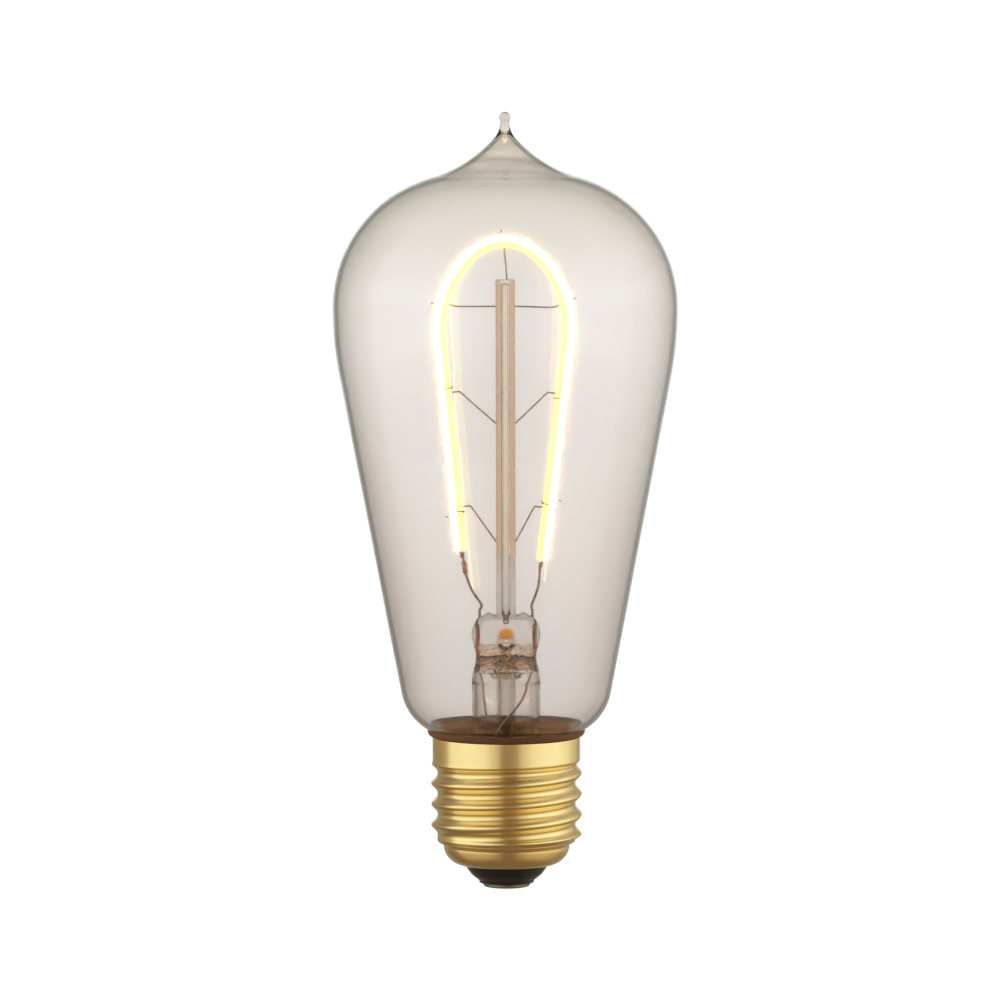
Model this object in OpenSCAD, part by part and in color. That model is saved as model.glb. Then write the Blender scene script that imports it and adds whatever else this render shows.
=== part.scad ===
// Hairpin filament lamp with a pear bulb, a drawn tip and a rolled screw cap.
// Heights run up from the face of the centre contact, which is the origin.

/* [Screw cap] */
// Diameter over the crests of the rolled thread
thread_d = 26.4; // [24.5:0.1:28]
// Depth of the thread from crest to root
thread_depth = 1.1; // [0.7:0.05:1.4]
// Rise of the thread in one turn
thread_pitch = 3.63; // [3:0.01:4.2]
// Height of the lowest crest on the right-hand side
thread_low = 9.1; // [8.8:0.1:10]
// Diameter of the plain skirt above the thread
skirt_d = 25.85; // [25.2:0.05:27]
// Height where the thread has run out into the skirt
skirt_z = 22.4; // [20:0.1:23.5]
// Height of the shell's rim
rim_z = 26.4; // [25:0.1:30]
// Thickness of the brass sheet
sheet = 0.3; // [0.2:0.05:0.4]
// Drop in radius from the thread's root to the smooth base
base_step = 1.05; // [0.8:0.05:1.4]
// Height where that step begins
step_z = 7.3; // [7.1:0.1:7.8]
// Radius of the round shoulder at the shell's lower end
base_round = 3.5; // [2.5:0.1:4]
// Height of the shell's lower edge
shell_z = 3.9; // [3.5:0.1:4.4]

/* [Insulator and contact] */
// Height of the insulator's flat underside
ins_z = 0.6; // [0.5:0.05:0.9]
// Diameter of that underside
ins_d = 9.7; // [9:0.1:11]
// Height of the insulator's floor inside the shell
ins_top = 6; // [5.6:0.1:6.6]
// Diameter of the bore for the lead
ins_bore = 1.6; // [1.2:0.1:2]
// Diameter of the contact disc
contact_d = 8.2; // [7.4:0.1:9]
// Thickness of the contact disc
contact_t = 0.35; // [0.25:0.05:0.45]
// Diameter of the hole that the solder fills
solder_d = 2; // [1.4:0.1:2.6]

/* [Glass bulb] */
// Greatest outside diameter of the glass
glass_d = 60; // [56:0.5:66]
// Thickness of the blown wall
glass_wall = 0.8; // [0.5:0.05:1.2]
// Height of the widest ring above the shell's rim
belly_h = 74.7; // [68:0.1:82]
// Radius of the side curve from the widest ring down to the taper
belly_r = 63; // [50:1:75]
// Radius of the rounded foot above the shell
foot_r = 9.4; // [8.6:0.1:10.4]
// How far inside the neck's radius the centre of that rounding lies
foot_in = 2.2; // [1.8:0.1:2.6]
// Radius of the hollow curve between foot and neck
neck_round = 2; // [1.2:0.1:3]
// Length of the neck below the shell's rim
neck_len = 9.4; // [8:0.1:10]
// Radius of the shoulder in side view
shoulder_r = 23.5; // [21:0.1:26]
// Slope from level where the shoulder turns up to the tip, in degrees
crown_slope = 15.5; // [13:0.1:18]
// Radius of the hollow curve that rises to the tip
crown_r = 23; // [20:0.1:27]
// Radius of the tight curve at the root of the tip
tip_round = 4.6; // [3.5:0.1:6]
// Diameter of the drawn tip at its thinnest
tip_d = 1.7; // [1.3:0.1:2.4]
// Diameter of the melted bead that closes it
bead_d = 1.95; // [1.9:0.05:2.8]
// Radius of the hollow's rounded top inside the tip
hollow_round = 2; // [1.6:0.1:6]

/* [Basing cement] */
// Thickness of cement between the neck and the thread's root
cement_t = 0.5; // [0.35:0.05:0.9]
// How far the cement lip stands out past the skirt
lip_out = 0.55; // [0.3:0.05:0.9]
// Angle up the foot that the lip reaches, in degrees from straight down
lip_angle = 30; // [26:1:36]
// Bare length of neck below the cement
cement_bare = 1; // [0.5:0.1:2]

/* [Stem] */
// Outside diameter of the stem tube
stem_d = 11.9; // [10.5:0.1:13]
// Wall of the stem tube
stem_wall = 0.9; // [0.6:0.05:1.2]
// Radius of the flare that joins the tube to the neck
flare_round = 4; // [3:0.1:4.6]
// Height of the round tube's top above the shell's rim
tube_h = 10.4; // [9:0.1:12]
// Height of the pinched press
press_h = 11.3; // [10.5:0.1:14]
// Width of the press
press_w = 12; // [11:0.1:13.5]
// Width of its waist
waist_w = 10.6; // [10.2:0.1:11]
// Height of the two soft humps on top of the press
hump_h = 0.6; // [0.3:0.1:1]
// Thickness of the press
press_t = 4.4; // [4:0.1:5.2]
// Length over which the tube narrows into the press
pinch_h = 3.7; // [3:0.1:4.5]
// Outside diameter of the exhaust tube
exhaust_d = 3.4; // [2.8:0.1:3.8]
// Bore of the exhaust tube
exhaust_bore = 2; // [1.4:0.1:2.2]
// Diameter of the blow-hole where it opens on the press's front
blow_d = 3; // [2.4:0.1:3.4]
// Length of exhaust tube left below the neck
exhaust_tail = 4; // [3:0.1:4.5]
// Diameter of the glass rod that carries the hooks
rod_d = 3.4; // [2.8:0.1:4]
// Height of the glass rod above the press
rod_h = 58; // [54:0.5:62]

/* [Leads] */
// Diameter of the stiff lead wires
lead_d = 0.45; // [0.35:0.05:0.6]
// Distance between the two wires in the press
lead_span = 9.2; // [8.4:0.1:9.6]
// Diameter of the copper-clad seal wires
seal_d = 0.55; // [0.4:0.05:0.7]
// Length of the seal wires
seal_len = 5.6; // [4.5:0.1:6]
// Outside diameter of the weld sleeve on the left lead
sleeve_d = 0.9; // [0.8:0.05:1.2]
// Length of the weld sleeve
sleeve_len = 2; // [1.5:0.1:2.4]

/* [Filament] */
// Height of the hairpin's top above the glass rod
hairpin_rise = 6.6; // [5:0.1:8]
// Half width of the hairpin at its widest
bow_half = 11.2; // [10.4:0.1:12.4]
// Height of the hairpin's top above its widest place
bow_rise = 15.2; // [14.4:0.1:17]
// Radius of the small arc at the top
bow_top_r = 8; // [7:0.1:8.6]
// Inward slope of each leg, in degrees
leg_slope = 6; // [4:0.5:7]
// Length of hairpin from its top down to the left end
left_drop = 53.8; // [51:0.1:56]
// Length of hairpin from its top down to the right end
right_drop = 55.4; // [52:0.1:57]
// Lean of the whole hairpin, its foot towards the left, in degrees
hairpin_lean = 0.7; // [0:0.1:2]
// Thickness of the coated strip, seen from the front
strip_t = 2; // [1.7:0.1:2.4]
// Width of the coated strip, front to back
strip_w = 2.4; // [2:0.1:3]
// Thickness of the metal strip inside the coats
core_t = 0.3; // [0.2:0.05:0.4]
// Width of the metal strip
core_w = 1.5; // [1.2:0.1:1.8]
// Distance between one chip and the next
chip_pitch = 2.4; // [2:0.1:4]
// Length of a chip along the strip
chip_l = 0.9; // [0.6:0.1:1.2]
// Width of a chip
chip_w = 0.5; // [0.3:0.05:0.7]
// Height of a chip
chip_h = 0.15; // [0.1:0.05:0.25]
// Length of the bare tab at each end of the strip
tab_l = 1.3; // [0.9:0.1:1.6]

/* [Hooks] */
// Diameter of the hook wire
hook_d = 0.28; // [0.2:0.02:0.36]
// Clearance between hook wire and coat
hook_gap = 0.12; // [0.08:0.02:0.2]
// Climb of the wire along the strip in one turn round it
hook_climb = 0.9; // [0.7:0.05:1.4]
// Length of level wire before it meets the strip
hook_reach = 1.2; // [0.8:0.1:1.6]
// Length of the free tail past the strip
hook_tail = 0.8; // [0.5:0.1:1.2]
// Distance of the upper hooks' roots below the rod's top
upper_root = 4.7; // [3:0.1:8]
// Distance of the middle hooks' roots below the rod's top
middle_root = 25; // [20:0.5:30]
// Distance of the lower hooks' roots below the rod's top
lower_root = 45.6; // [41:0.1:48]
// Distance of the upper hooks below the hairpin's top
upper_hook = 10.8; // [8:0.1:14]
// Distance of the middle hooks below the hairpin's top
middle_hook = 26.4; // [22:0.1:32]
// Distance of the lower hooks below the hairpin's top
lower_hook = 46.3; // [42:0.1:49]

/* [Driver] */
// Thickness of the driver board
board_t = 1; // [0.8:0.1:1.6]
// Ledge that the board's edge has on the shell's step
board_seat = 0.55; // [0.4:0.05:0.7]
// Diameter of the smoothing capacitor
cap_d = 5; // [4:0.1:5.4]
// Length of the smoothing capacitor
cap_l = 9; // [7:0.1:10]
// Length of the bridge rectifier
bridge_l = 4.8; // [4:0.1:5.2]
// Width of the bridge rectifier
bridge_w = 3.9; // [3.4:0.1:4.2]
// Height of the bridge rectifier
bridge_h = 1.6; // [1.2:0.1:2]
// Length of the driver chip
chip_body_l = 4.5; // [4:0.1:5]
// Width of the driver chip
chip_body_w = 2.5; // [2:0.1:3]
// Height of the driver chip
chip_body_h = 1.5; // [1.2:0.1:1.8]
// Diameter of the fusible resistor
fuse_d = 2.3; // [1.8:0.1:2.6]
// Length of the fusible resistor
fuse_l = 6; // [5:0.1:7]
// Diameter of the insulated driver wires
wire_d = 0.8; // [0.6:0.05:1]

/* [Hidden] */
$fn = 64;
// Clearance left between pieces that seat on each other
seat = 0.05;
// Clearance left round a wire in its hole
wire_fit = 0.05;

brass = [0.86, 0.72, 0.40];
clear_glass = [0.85, 0.83, 0.80, 0.35];

// Curves: an arc of straight steps, a blend from 0 to 1, a unit vector, a mix of two points
function arc(c, r, from, to, steps) =
    [for (i = [0:steps]) let (a = from + (to - from) * i / steps) c + r * [cos(a), sin(a)]];
function ease(t) = let (u = min(1, max(0, t))) u * u * (3 - 2 * u);
function unit(v) = v / norm(v);
function mix(a, b, t) = a + (b - a) * t;
function turn(v, a) = [v.x * cos(a) - v.y * sin(a), v.x * sin(a) + v.y * cos(a)];
function angle_to(from, to) = let (a = atan2(to.y - from.y, to.x - from.x)) a < 0 ? a + 360 : a;

// A smooth run of points through the given ones
function through(p, steps = 3) = let (n = len(p) - 1) concat(
    [for (i = [0:n - 1], k = [0:steps - 1])
        let (t = k / steps, a = p[max(i - 1, 0)], b = p[i], c = p[i + 1], d = p[min(i + 2, n)])
        0.5 * (2 * b + t * (c - a) + t * t * (2 * a - 5 * b + 4 * c - d)
               + t * t * t * (3 * b - a - 3 * c + d))],
    [p[n]]);

// A grid of points, one ring after another, joined by triangles
module skin(rings, looped = false) {
    n = len(rings);
    m = len(rings[0]);
    last = looped ? n - 1 : n - 2;
    sides = [for (i = [0:last], j = [0:m - 1])
        let (k = (i + 1) % n, s = (j + 1) % m,
             a = i * m + j, b = k * m + j, c = k * m + s, d = i * m + s)
        each [[a, b, c], [a, c, d]]];
    ends = looped ? [] : [[for (j = [0:m - 1]) j], [for (j = [m - 1:-1:0]) (n - 1) * m + j]];
    polyhedron([for (ring = rings) each ring], concat(sides, ends), convexity = 8);
}

// A round wire along a path, its rings carried along without twist
function headings(p) = let (n = len(p) - 1)
    [for (i = [0:n]) unit(p[min(i + 1, n)] - p[max(i - 1, 0)])];
function square_to(v, t) = unit(v - (v * t) * t);
function carried(t, v) = let (n = len(t))
    [for (i = 0, a = square_to(v, t[0]); i < n; i = i + 1, a = square_to(a, t[min(i, n - 1)])) a];
module wire(path, d, sides = 6, start = [0.3, 1, 0.2]) {
    t = headings(path);
    v = carried(t, start);
    skin([for (i = [0:len(path) - 1]) let (w = cross(t[i], v[i]))
        [for (j = [0:sides - 1]) let (a = 360 * j / sides)
            path[i] + d / 2 * (cos(a) * v[i] + sin(a) * w)]]);
}

// Screw cap: radii and heights shared by everything inside the shell
crest_r = thread_d / 2;
root_r = crest_r - thread_depth;
skirt_r = skirt_d / 2;
base_r = root_r - base_step;
base_c = [base_r - base_round, shell_z + base_round];
step_h = 0.8;
step_top = step_z + step_h;
run_in = 1.2;
run_out = 1.4;
rim_bevel = 0.2;
cap_sides = 40;
rows_per_turn = 7;

function wave(z, a) = (1 + cos(360 * (z - thread_low) / thread_pitch - a)) / 2;
function thread_r(z, a) =
    mix(root_r + thread_depth * wave(z, a) * ease((z - step_top) / run_in),
        skirt_r, ease((z - skirt_z + run_out) / run_out));
thread_rows = ceil((skirt_z - step_top) / thread_pitch * rows_per_turn);
// Outline of the shell at one angle, set in by t: shoulder, step, thread, skirt and bevelled rim
function shell_line(a, t) = concat(
    arc(base_c, base_round - t, -90, 0, 6),
    [[base_r - t, step_z]],
    [for (i = [0:thread_rows]) let (z = mix(step_top, skirt_z, i / thread_rows))
        [thread_r(z, a) - t, z]],
    [[skirt_r - t, rim_z - rim_bevel], [skirt_r - (t == 0 ? rim_bevel / 2 : t), rim_z]]);
function shell_section(a) = let (out = shell_line(a, 0), in = shell_line(a, sheet))
    concat(out, [for (i = [len(in) - 1:-1:0]) in[i]]);

module cap_shell() {
    lines = [for (j = [0:cap_sides - 1]) shell_section(360 * j / cap_sides)];
    color(brass)
    skin([for (i = [0:len(lines[0]) - 1])
        [for (j = [0:cap_sides - 1]) let (a = 360 * j / cap_sides, p = lines[j][i])
            [p.x * cos(a), p.x * sin(a), p.y]]], looped = true);
}

// The solder fills the contact's hole and heads over it inside a pocket of the insulator
solder_head_r = solder_d / 2 + 0.3;
solder_top = ins_z + 0.35;

// Insulator: a moulded cone below the shell and a floor that lines its shoulder
module cap_insulator() {
    hole = base_c.x - seat;
    edge = 0.35;
    inside_r = base_round - sheet - seat;
    floor_a = asin((ins_top - base_c.y) / inside_r);
    pocket = solder_head_r + seat;
    bore = ins_bore / 2;
    funnel = 1.2;
    color([0.12, 0.10, 0.09])
    rotate_extrude()
    polygon(concat(
        [[pocket, ins_z]],
        arc([ins_d / 2 - edge, ins_z + edge], edge, -90, -38, 4),
        [[hole - 0.25, shell_z - 0.1], [hole, shell_z + seat]],
        arc(base_c, inside_r, -90, floor_a, 5),
        [[bore + funnel, ins_top], [bore, ins_top - funnel],
         [bore, solder_top + seat], [pocket, solder_top + seat]]));
}

// Contact: a shallow dished disc, its rim turned up against the insulator
module centre_contact() {
    r = contact_d / 2;
    color(brass)
    rotate_extrude()
    polygon(concat(
        [[solder_d / 2, 0]],
        arc([r - contact_t, contact_t], contact_t, -90, 0, 5),
        [[r, ins_z], [r - contact_t, ins_z],
         [r - contact_t * 1.5, contact_t], [solder_d / 2, contact_t]]));
}

module contact_solder() {
    stem = solder_d / 2 - seat;
    neck = contact_t + seat;
    color([0.75, 0.75, 0.74])
    rotate_extrude()
    polygon([[0, seat], [stem, seat], [stem, neck],
             [solder_head_r, neck], [solder_head_r, solder_top], [0, solder_top]]);
}

// Glass bulb: each curve is an arc tangent to the next
belly_z = rim_z + belly_h;
neck_r = root_r - sheet - cement_t;
neck_z = rim_z - neck_len;
belly_c = [glass_d / 2 - belly_r, belly_z];
shoulder_c = [glass_d / 2 - shoulder_r, belly_z];
foot_c = [neck_r - foot_in, rim_z + foot_r];
// Slope from upright of the straight side that touches both the foot and the belly
foot_to_belly = belly_c - foot_c;
taper = acos((foot_r - belly_r) / norm(foot_to_belly)) - atan2(foot_to_belly.y, foot_to_belly.x);
neck_c = [neck_r + neck_round,
          foot_c.y - sqrt(pow(foot_r + neck_round, 2) - pow(foot_in + neck_round, 2))];
foot_a = angle_to(neck_c, foot_c);
crown_c = shoulder_c + (shoulder_r + crown_r) * [sin(crown_slope), cos(crown_slope)];
tip_x = tip_d / 2 + tip_round;
tip_c = [tip_x, crown_c.y - sqrt(pow(crown_r - tip_round, 2) - pow(crown_c.x - tip_x, 2))];
bead_r = bead_d / 2;
bead_a = acos(tip_d / bead_d);
bead_c = [0, tip_c.y + bead_r * sin(bead_a)];

// The lower half of the outline, set in by t, up to angle a on the foot
function foot_line(t, a) = concat(
    arc(neck_c, neck_round + t, 180, foot_a, 5),
    arc(foot_c, foot_r - t, foot_a - 180, a, 12));
function side_line(t) = concat(
    [[neck_r - t, neck_z]],
    foot_line(t, -taper),
    arc(belly_c, belly_r - t, -taper, 0, 5),
    [for (p = arc(shoulder_c, shoulder_r - t, 0, 90 - crown_slope, 20)) if (p.y > belly_z + 0.01) p]);
function top_outside() = let (a = angle_to(crown_c, tip_c)) concat(
    arc(crown_c, crown_r, 268 - crown_slope, a, 8),
    [for (p = arc(tip_c, tip_round, a, 180, 6)) if (p.y > tip_c.y - tip_round * abs(sin(a)) + 0.01) p],
    arc(bead_c, bead_r, 10 - bead_a, 90, 7));
function top_inside() = let (
    r = crown_r + glass_wall,
    hollow_c = [0, crown_c.y - sqrt(pow(r + hollow_round, 2) - pow(crown_c.x, 2))],
    a = angle_to(crown_c, hollow_c))
    concat(arc(crown_c, r, 268 - crown_slope, a, 9), arc(hollow_c, hollow_round, a - 172, 90, 4));

module glass_envelope() {
    inside = concat(side_line(glass_wall), top_inside());
    color(clear_glass)
    rotate_extrude($fn = 96)
    polygon(concat(side_line(0), top_outside(), [for (i = [len(inside) - 1:-1:0]) inside[i]]));
}

// Cement: fills the shell round the neck and swells out over the rim
module basing_cement() {
    end_a = lip_angle - 90;
    lip_end = foot_c + foot_r * [cos(end_a), sin(end_a)];
    lip_start = [skirt_r, rim_z + seat];
    swell = [skirt_r + lip_out * 1.5, rim_z + seat];
    low = neck_z + cement_bare;
    wall_r = root_r - sheet - seat;
    wide_r = skirt_r - sheet - seat;
    inner = foot_line(-seat, end_a);
    color([0.42, 0.27, 0.17])
    rotate_extrude()
    polygon(concat(
        [[neck_r + seat, low], [wall_r, low], [wall_r, skirt_z - run_out],
         [wide_r, skirt_z + 0.2], [wide_r, rim_z + seat], lip_start],
        [for (i = [1:4]) let (t = i / 5) mix(mix(lip_start, swell, t), mix(swell, lip_end, t), t)],
        [for (i = [len(inner) - 1:-1:0]) inner[i]]));
}

// Stem: a flared tube pinched flat at its top round the two seal wires
stem_r = stem_d / 2;
tube_z = rim_z + tube_h;
press_z = tube_z + press_h;
pinch_z = tube_z + pinch_h;
rod_z = press_z - hump_h;
rod_top = press_z + rod_h;
roof_z = pinch_z - 1.1;
blow_z = roof_z + 3.7;
wire_x = lead_span / 2;
press_sides = 28;
overlap = 0.01;

// A slot-shaped ring of points: width, thickness, height
function slot_ring(w, t, z) = [for (j = [0:press_sides - 1]) let (a = (j + 0.5) * 360 / press_sides)
    [sign(cos(a)) * (w - t) / 2 + t / 2 * cos(a), t / 2 * sin(a), z]];
function round_ring(p) = slot_ring(2 * p.x, 2 * p.x, p.y);

// The stem in rings from its flared foot upwards. Its top is pinched flat, with sides that bulge.
// Each row gives the share of the way up the pinch or press, of waist or bulge, and of thickness.
pinch_rows = [[0.3, 0.35, 0.15], [0.7, 0.9, 0.65]];
press_rows = [[0, 0, 1], [0.14, 0.14, 1], [0.3, 0.62, 1], [0.5, 1, 1], [0.63, 0.96, 1],
              [0.8, 0.45, 1], [0.92, -0.3, 0.97]];
flare_c = [stem_r + flare_round, neck_z + flare_round];
module stem_body() {
    skin(concat(
        [round_ring([neck_r, neck_z - stem_wall]), round_ring([neck_r, neck_z])],
        [for (p = arc(flare_c, flare_round, 270, 180, 5)) round_ring(p)],
        [round_ring([stem_r, tube_z])],
        [for (r = pinch_rows) let (z = mix(tube_z, pinch_z, r[0]))
            slot_ring(mix(stem_d, waist_w, r[1]), mix(stem_d, press_t, r[2]), z)],
        [for (r = press_rows) let (z = mix(pinch_z, rod_z, r[0]))
            slot_ring(mix(waist_w, press_w, r[1]), mix(stem_d, press_t, r[2]), z)],
        [slot_ring(mix(waist_w, press_w, -1.3), press_t - 0.9, rod_z)]));
}

// Humps: two soft pillows on top, between the rod and the leads
hole_r = seal_d / 2 + wire_fit;
hump_x = (rod_d / 2 + wire_x - hole_r) / 2;
hump_r = hump_x - rod_d / 2 - 0.1;
module humps() {
    for (s = [-1, 1]) translate([s * hump_x, press_t / 4, press_z - hump_r]) rotate([90, 0, 0])
        linear_extrude(press_t / 2) polygon(arc([0, 0], hump_r, 0, 342, 19));
}

module stem_hollow() {
    bore = stem_r - stem_wall;
    slot = exhaust_d + 2 * seat;
    foot = arc(flare_c, flare_round + stem_wall, 262, 180, 5);
    skin(concat(
        [round_ring([foot[0].x, neck_z - 2 * stem_wall])],
        [for (p = foot) round_ring(p)],
        [round_ring([bore, tube_z]),
         slot_ring(mix(2 * bore, lead_span, 0.5), mix(2 * bore, slot, 0.5), mix(tube_z, roof_z, 0.5)),
         slot_ring(lead_span, slot, roof_z)]));
    // Bore above the exhaust tube, and the blow-hole that opens it to the bulb
    translate([0, 0, roof_z - overlap])
        cylinder(d = exhaust_bore, h = blow_z - roof_z + 0.6, $fn = 12);
    translate([0, 0, blow_z]) rotate([90, 0, 0])
        cylinder(d1 = exhaust_bore * 0.8, d2 = blow_d, h = press_t / 2 + overlap, $fn = 12);
    for (s = [-1, 1]) translate([s * wire_x, 0, roof_z - 1])
        cylinder(r = hole_r, h = press_z - roof_z + 2, $fn = 12);
}

module stem_glass() {
    color(clear_glass)
    difference() {
        union() {
            stem_body();
            humps();
        }
        stem_hollow();
    }
}

// Exhaust tube: open at the blow-hole, sealed to a rounded tip inside the cap
module exhaust_tube() {
    r = exhaust_d / 2;
    bore = exhaust_bore / 2;
    low = neck_z - exhaust_tail;
    color(clear_glass)
    rotate_extrude()
    polygon(concat(
        arc([0, low + r], r, -90, 0, 6),
        [[r, roof_z - seat], [bore, roof_z - seat]],
        arc([0, low + r], bore, 0, 90, 4)));
}

module glass_rod() {
    soft = 0.25;
    length = rod_h + hump_h;
    color(clear_glass)
    translate([0, 0, rod_z])
    rotate_extrude()
    polygon(concat([[0, 0], [rod_d / 2, 0]],
        arc([rod_d / 2 - soft, length - soft], soft, 0, 90, 4), [[0, length]]));
}

// Hairpin: two sloping legs, two side arcs and a small top arc, all tangent.
// Its points are [x, z] measured from its own top, and leaned() puts them in place.
side_r = (pow(bow_half, 2) + pow(bow_rise - bow_top_r, 2) - pow(bow_top_r, 2))
         / (2 * (bow_half - bow_top_r));
side_c = [bow_half - side_r, -bow_rise];
top_c = [0, -bow_top_r];
join_a = atan2(top_c.y - side_c.y, -side_c.x);
leg_top = side_c + side_r * [cos(leg_slope), -sin(leg_slope)];
hairpin_top = rod_top + hairpin_rise;
leg_way = [-sin(leg_slope), -cos(leg_slope)];
function leg_len(drop) = (drop + leg_top.y) / cos(leg_slope);

module leaned() {
    translate([0, 0, hairpin_top]) rotate([0, hairpin_lean, 0]) children();
}
function leaned_at(p) = let (q = turn(p, -hairpin_lean)) [q.x, 0, hairpin_top + q.y];

// Point and outward angle on the right-hand side at a depth below the top
function side_at(drop) = let (y = -drop) y < leg_top.y
    ? [leg_top + leg_way * (leg_top.y - y) / cos(leg_slope), -leg_slope]
    : let (a = asin((y - side_c.y) / side_r)) [side_c + side_r * [cos(a), sin(a)], a];

// The whole hairpin as stations of [point, outward angle], from the right end over the top to the left
side_steps = 7;
top_steps = 5;
function half_way(drop) = concat(
    [[leg_top + leg_way * leg_len(drop), -leg_slope]],
    [for (i = [0:side_steps]) let (a = mix(-leg_slope, join_a, i / side_steps))
        [side_c + side_r * [cos(a), sin(a)], a]],
    [for (i = [1:top_steps]) let (a = mix(join_a, 90, i / top_steps))
        [top_c + bow_top_r * [cos(a), sin(a)], a]]);
function whole_way() = let (left = half_way(left_drop)) concat(half_way(right_drop),
    [for (i = [len(left) - 2:-1:0]) [[-left[i][0].x, left[i][0].y], 180 - left[i][1]]]);

// A section of [outward, front to back] points, carried along the hairpin
module bow(section) {
    skin([for (at = whole_way()) let (c = leaned_at(at[0]), a = at[1] - hairpin_lean)
        [for (p = section) c + [p.x * cos(a), p.y, p.x * sin(a)]]]);
}

// Section of one coat: the part of a soft oval that lies beyond an edge, outwards or inwards
coat_power = 0.7;
function oval(a) = [sign(cos(a)) * pow(abs(cos(a)), coat_power) * strip_t / 2,
                    sign(sin(a)) * pow(abs(sin(a)), coat_power) * strip_w / 2];
function coat_line(middle, edge, steps = 10) = let (a = acos(pow(edge / (strip_t / 2), 1 / coat_power)))
    [for (i = [0:steps]) oval(middle - a + 2 * a * i / steps)];
core_edge = core_t / 2 + seat;

module outer_phosphor() {
    color([1, 0.97, 0.86])
    bow(coat_line(0, core_edge + chip_h + seat));
}

module inner_phosphor() {
    color([1, 0.95, 0.55])
    bow(coat_line(180, core_edge));
}

module filament_strip() {
    color([0.80, 0.74, 0.62])
    bow([for (c = [[-1, -1], [1, -1], [1, 1], [-1, 1]]) [c.x * core_t / 2, c.y * core_w / 2]]);
}

// Chips: a row along the outer face of the metal strip
side_len = side_r * (join_a + leg_slope) * PI / 180;
top_len = bow_top_r * (90 - join_a) * PI / 180;
// Point and outward angle at a distance along the right-hand half, from the top
function along(s) =
    s < top_len ? let (a = 90 - s / bow_top_r * 180 / PI) [top_c + bow_top_r * [cos(a), sin(a)], a]
    : s < top_len + side_len ? let (a = join_a - (s - top_len) / side_r * 180 / PI)
        [side_c + side_r * [cos(a), sin(a)], a]
    : [leg_top + leg_way * (s - top_len - side_len), -leg_slope];
module chip_row(drop) {
    count = floor((top_len + side_len + leg_len(drop) - chip_l) / chip_pitch);
    for (i = [0:count - 1]) let (at = along((i + 0.5) * chip_pitch))
        translate([at[0].x, 0, at[0].y]) rotate([0, -at[1], 0])
        translate([core_edge, -chip_w / 2, -chip_l / 2]) cube([chip_h, chip_w, chip_l]);
}
module led_chips() {
    color([0.35, 0.55, 0.85])
    leaned() {
        chip_row(right_drop);
        mirror([1, 0, 0]) chip_row(left_drop);
    }
}

// End tabs: the bare plated ends where the leads are welded on
function end_at(side, drop) = let (p = side_at(drop)[0] + leg_way * (tab_l / 2))
    leaned_at([side * p.x, p.y]);
module end_tab(side, drop) {
    at = side_at(drop)[0];
    color([0.62, 0.36, 0.24])
    leaned() translate([side * at.x, 0, at.y]) rotate([0, side * leg_slope, 0])
        translate([-core_t / 2, -core_w / 2, -tab_l - seat]) cube([core_t, core_w, tab_l]);
}
module left_end_tab() { end_tab(-1, left_drop); }
module right_end_tab() { end_tab(1, right_drop); }

// Leads: seal wires in the press, stiff leads above, softer leads down to the driver
seal_z = roof_z + 1;
weld_gap = 0.02;
weld_x = core_t / 2 + lead_d / 2 + weld_gap;
module seal_wire(side) {
    color([0.78, 0.38, 0.24])
    translate([side * wire_x, 0, seal_z]) cylinder(d = seal_d, h = seal_len, $fn = 24);
}
module left_seal_wire() { seal_wire(-1); }
module right_seal_wire() { seal_wire(1); }

// Bends of an upper lead, as shares of the way out and up from the press to the tab. After them
// comes a last one, at a share of the way out, low enough for the sleeve to clear the tab.
upper_bends = [[0.01, 0.02], [-0.1, 0.12], [0.45, 0.36]];
last_bend = 0.86;
sleeve_clear = 0.7;
function upper_path(side, drop) = let (
    a = [side * wire_x, 0, seal_z + seal_len + weld_gap],
    b = [side * wire_x, 0, press_z + 0.2],
    d = end_at(side, drop) - side * [weld_x, 0, 0])
    concat([a, b], through(concat(
        [for (s = upper_bends) b + [s.x * (d.x - b.x), 0, s.y * (d.z - b.z)]],
        [[mix(b.x, d.x, last_bend), 0, d.z - tab_l / 2 - sleeve_len - sleeve_clear],
         d - [0, 0, tab_l / 2], d + [0, 0, tab_l / 4]]), 2));
module upper_lead(side, drop) {
    color([0.45, 0.42, 0.40])
    wire(upper_path(side, drop), lead_d, 8);
}
module left_upper_lead() { upper_lead(-1, left_drop); }
module right_upper_lead() { upper_lead(1, right_drop); }

// Sleeve: a short copper tube slipped over the left lead under its tab
module weld_sleeve() {
    path = upper_path(-1, left_drop);
    n = len(path);
    foot = path[n - 5];
    way = unit(path[n - 3] - foot);
    bore = lead_d + 2 * wire_fit + 0.15;
    color([0.75, 0.42, 0.26])
    translate(foot) rotate([0, atan2(way.x, way.z), 0])
    difference() {
        cylinder(d = sleeve_d, h = sleeve_len, $fn = 32);
        translate([0, 0, -1]) cylinder(d = bore, h = sleeve_len + 2, $fn = 32);
    }
}

// Driver: a round board on the shell's step, with its parts soldered on top
board_z = step_top;
board_top = board_z + board_t;
board_r = base_r - sheet + board_seat;
// Places on the board for the two leads, the rectifier, the chip and the wire to the shell
left_pad = [-8.4, 2.2];
right_pad = [-7.2, -5.2];
bridge_at = [-4.4, -1];
chip_at = [4.6, -1.2];
shell_pad = [9.2, 4];
capacitor_y = 2.6;
fuse_at = [1.5, -6.6];
pin_t = 0.3;
pin_gap = 0.02;
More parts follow.
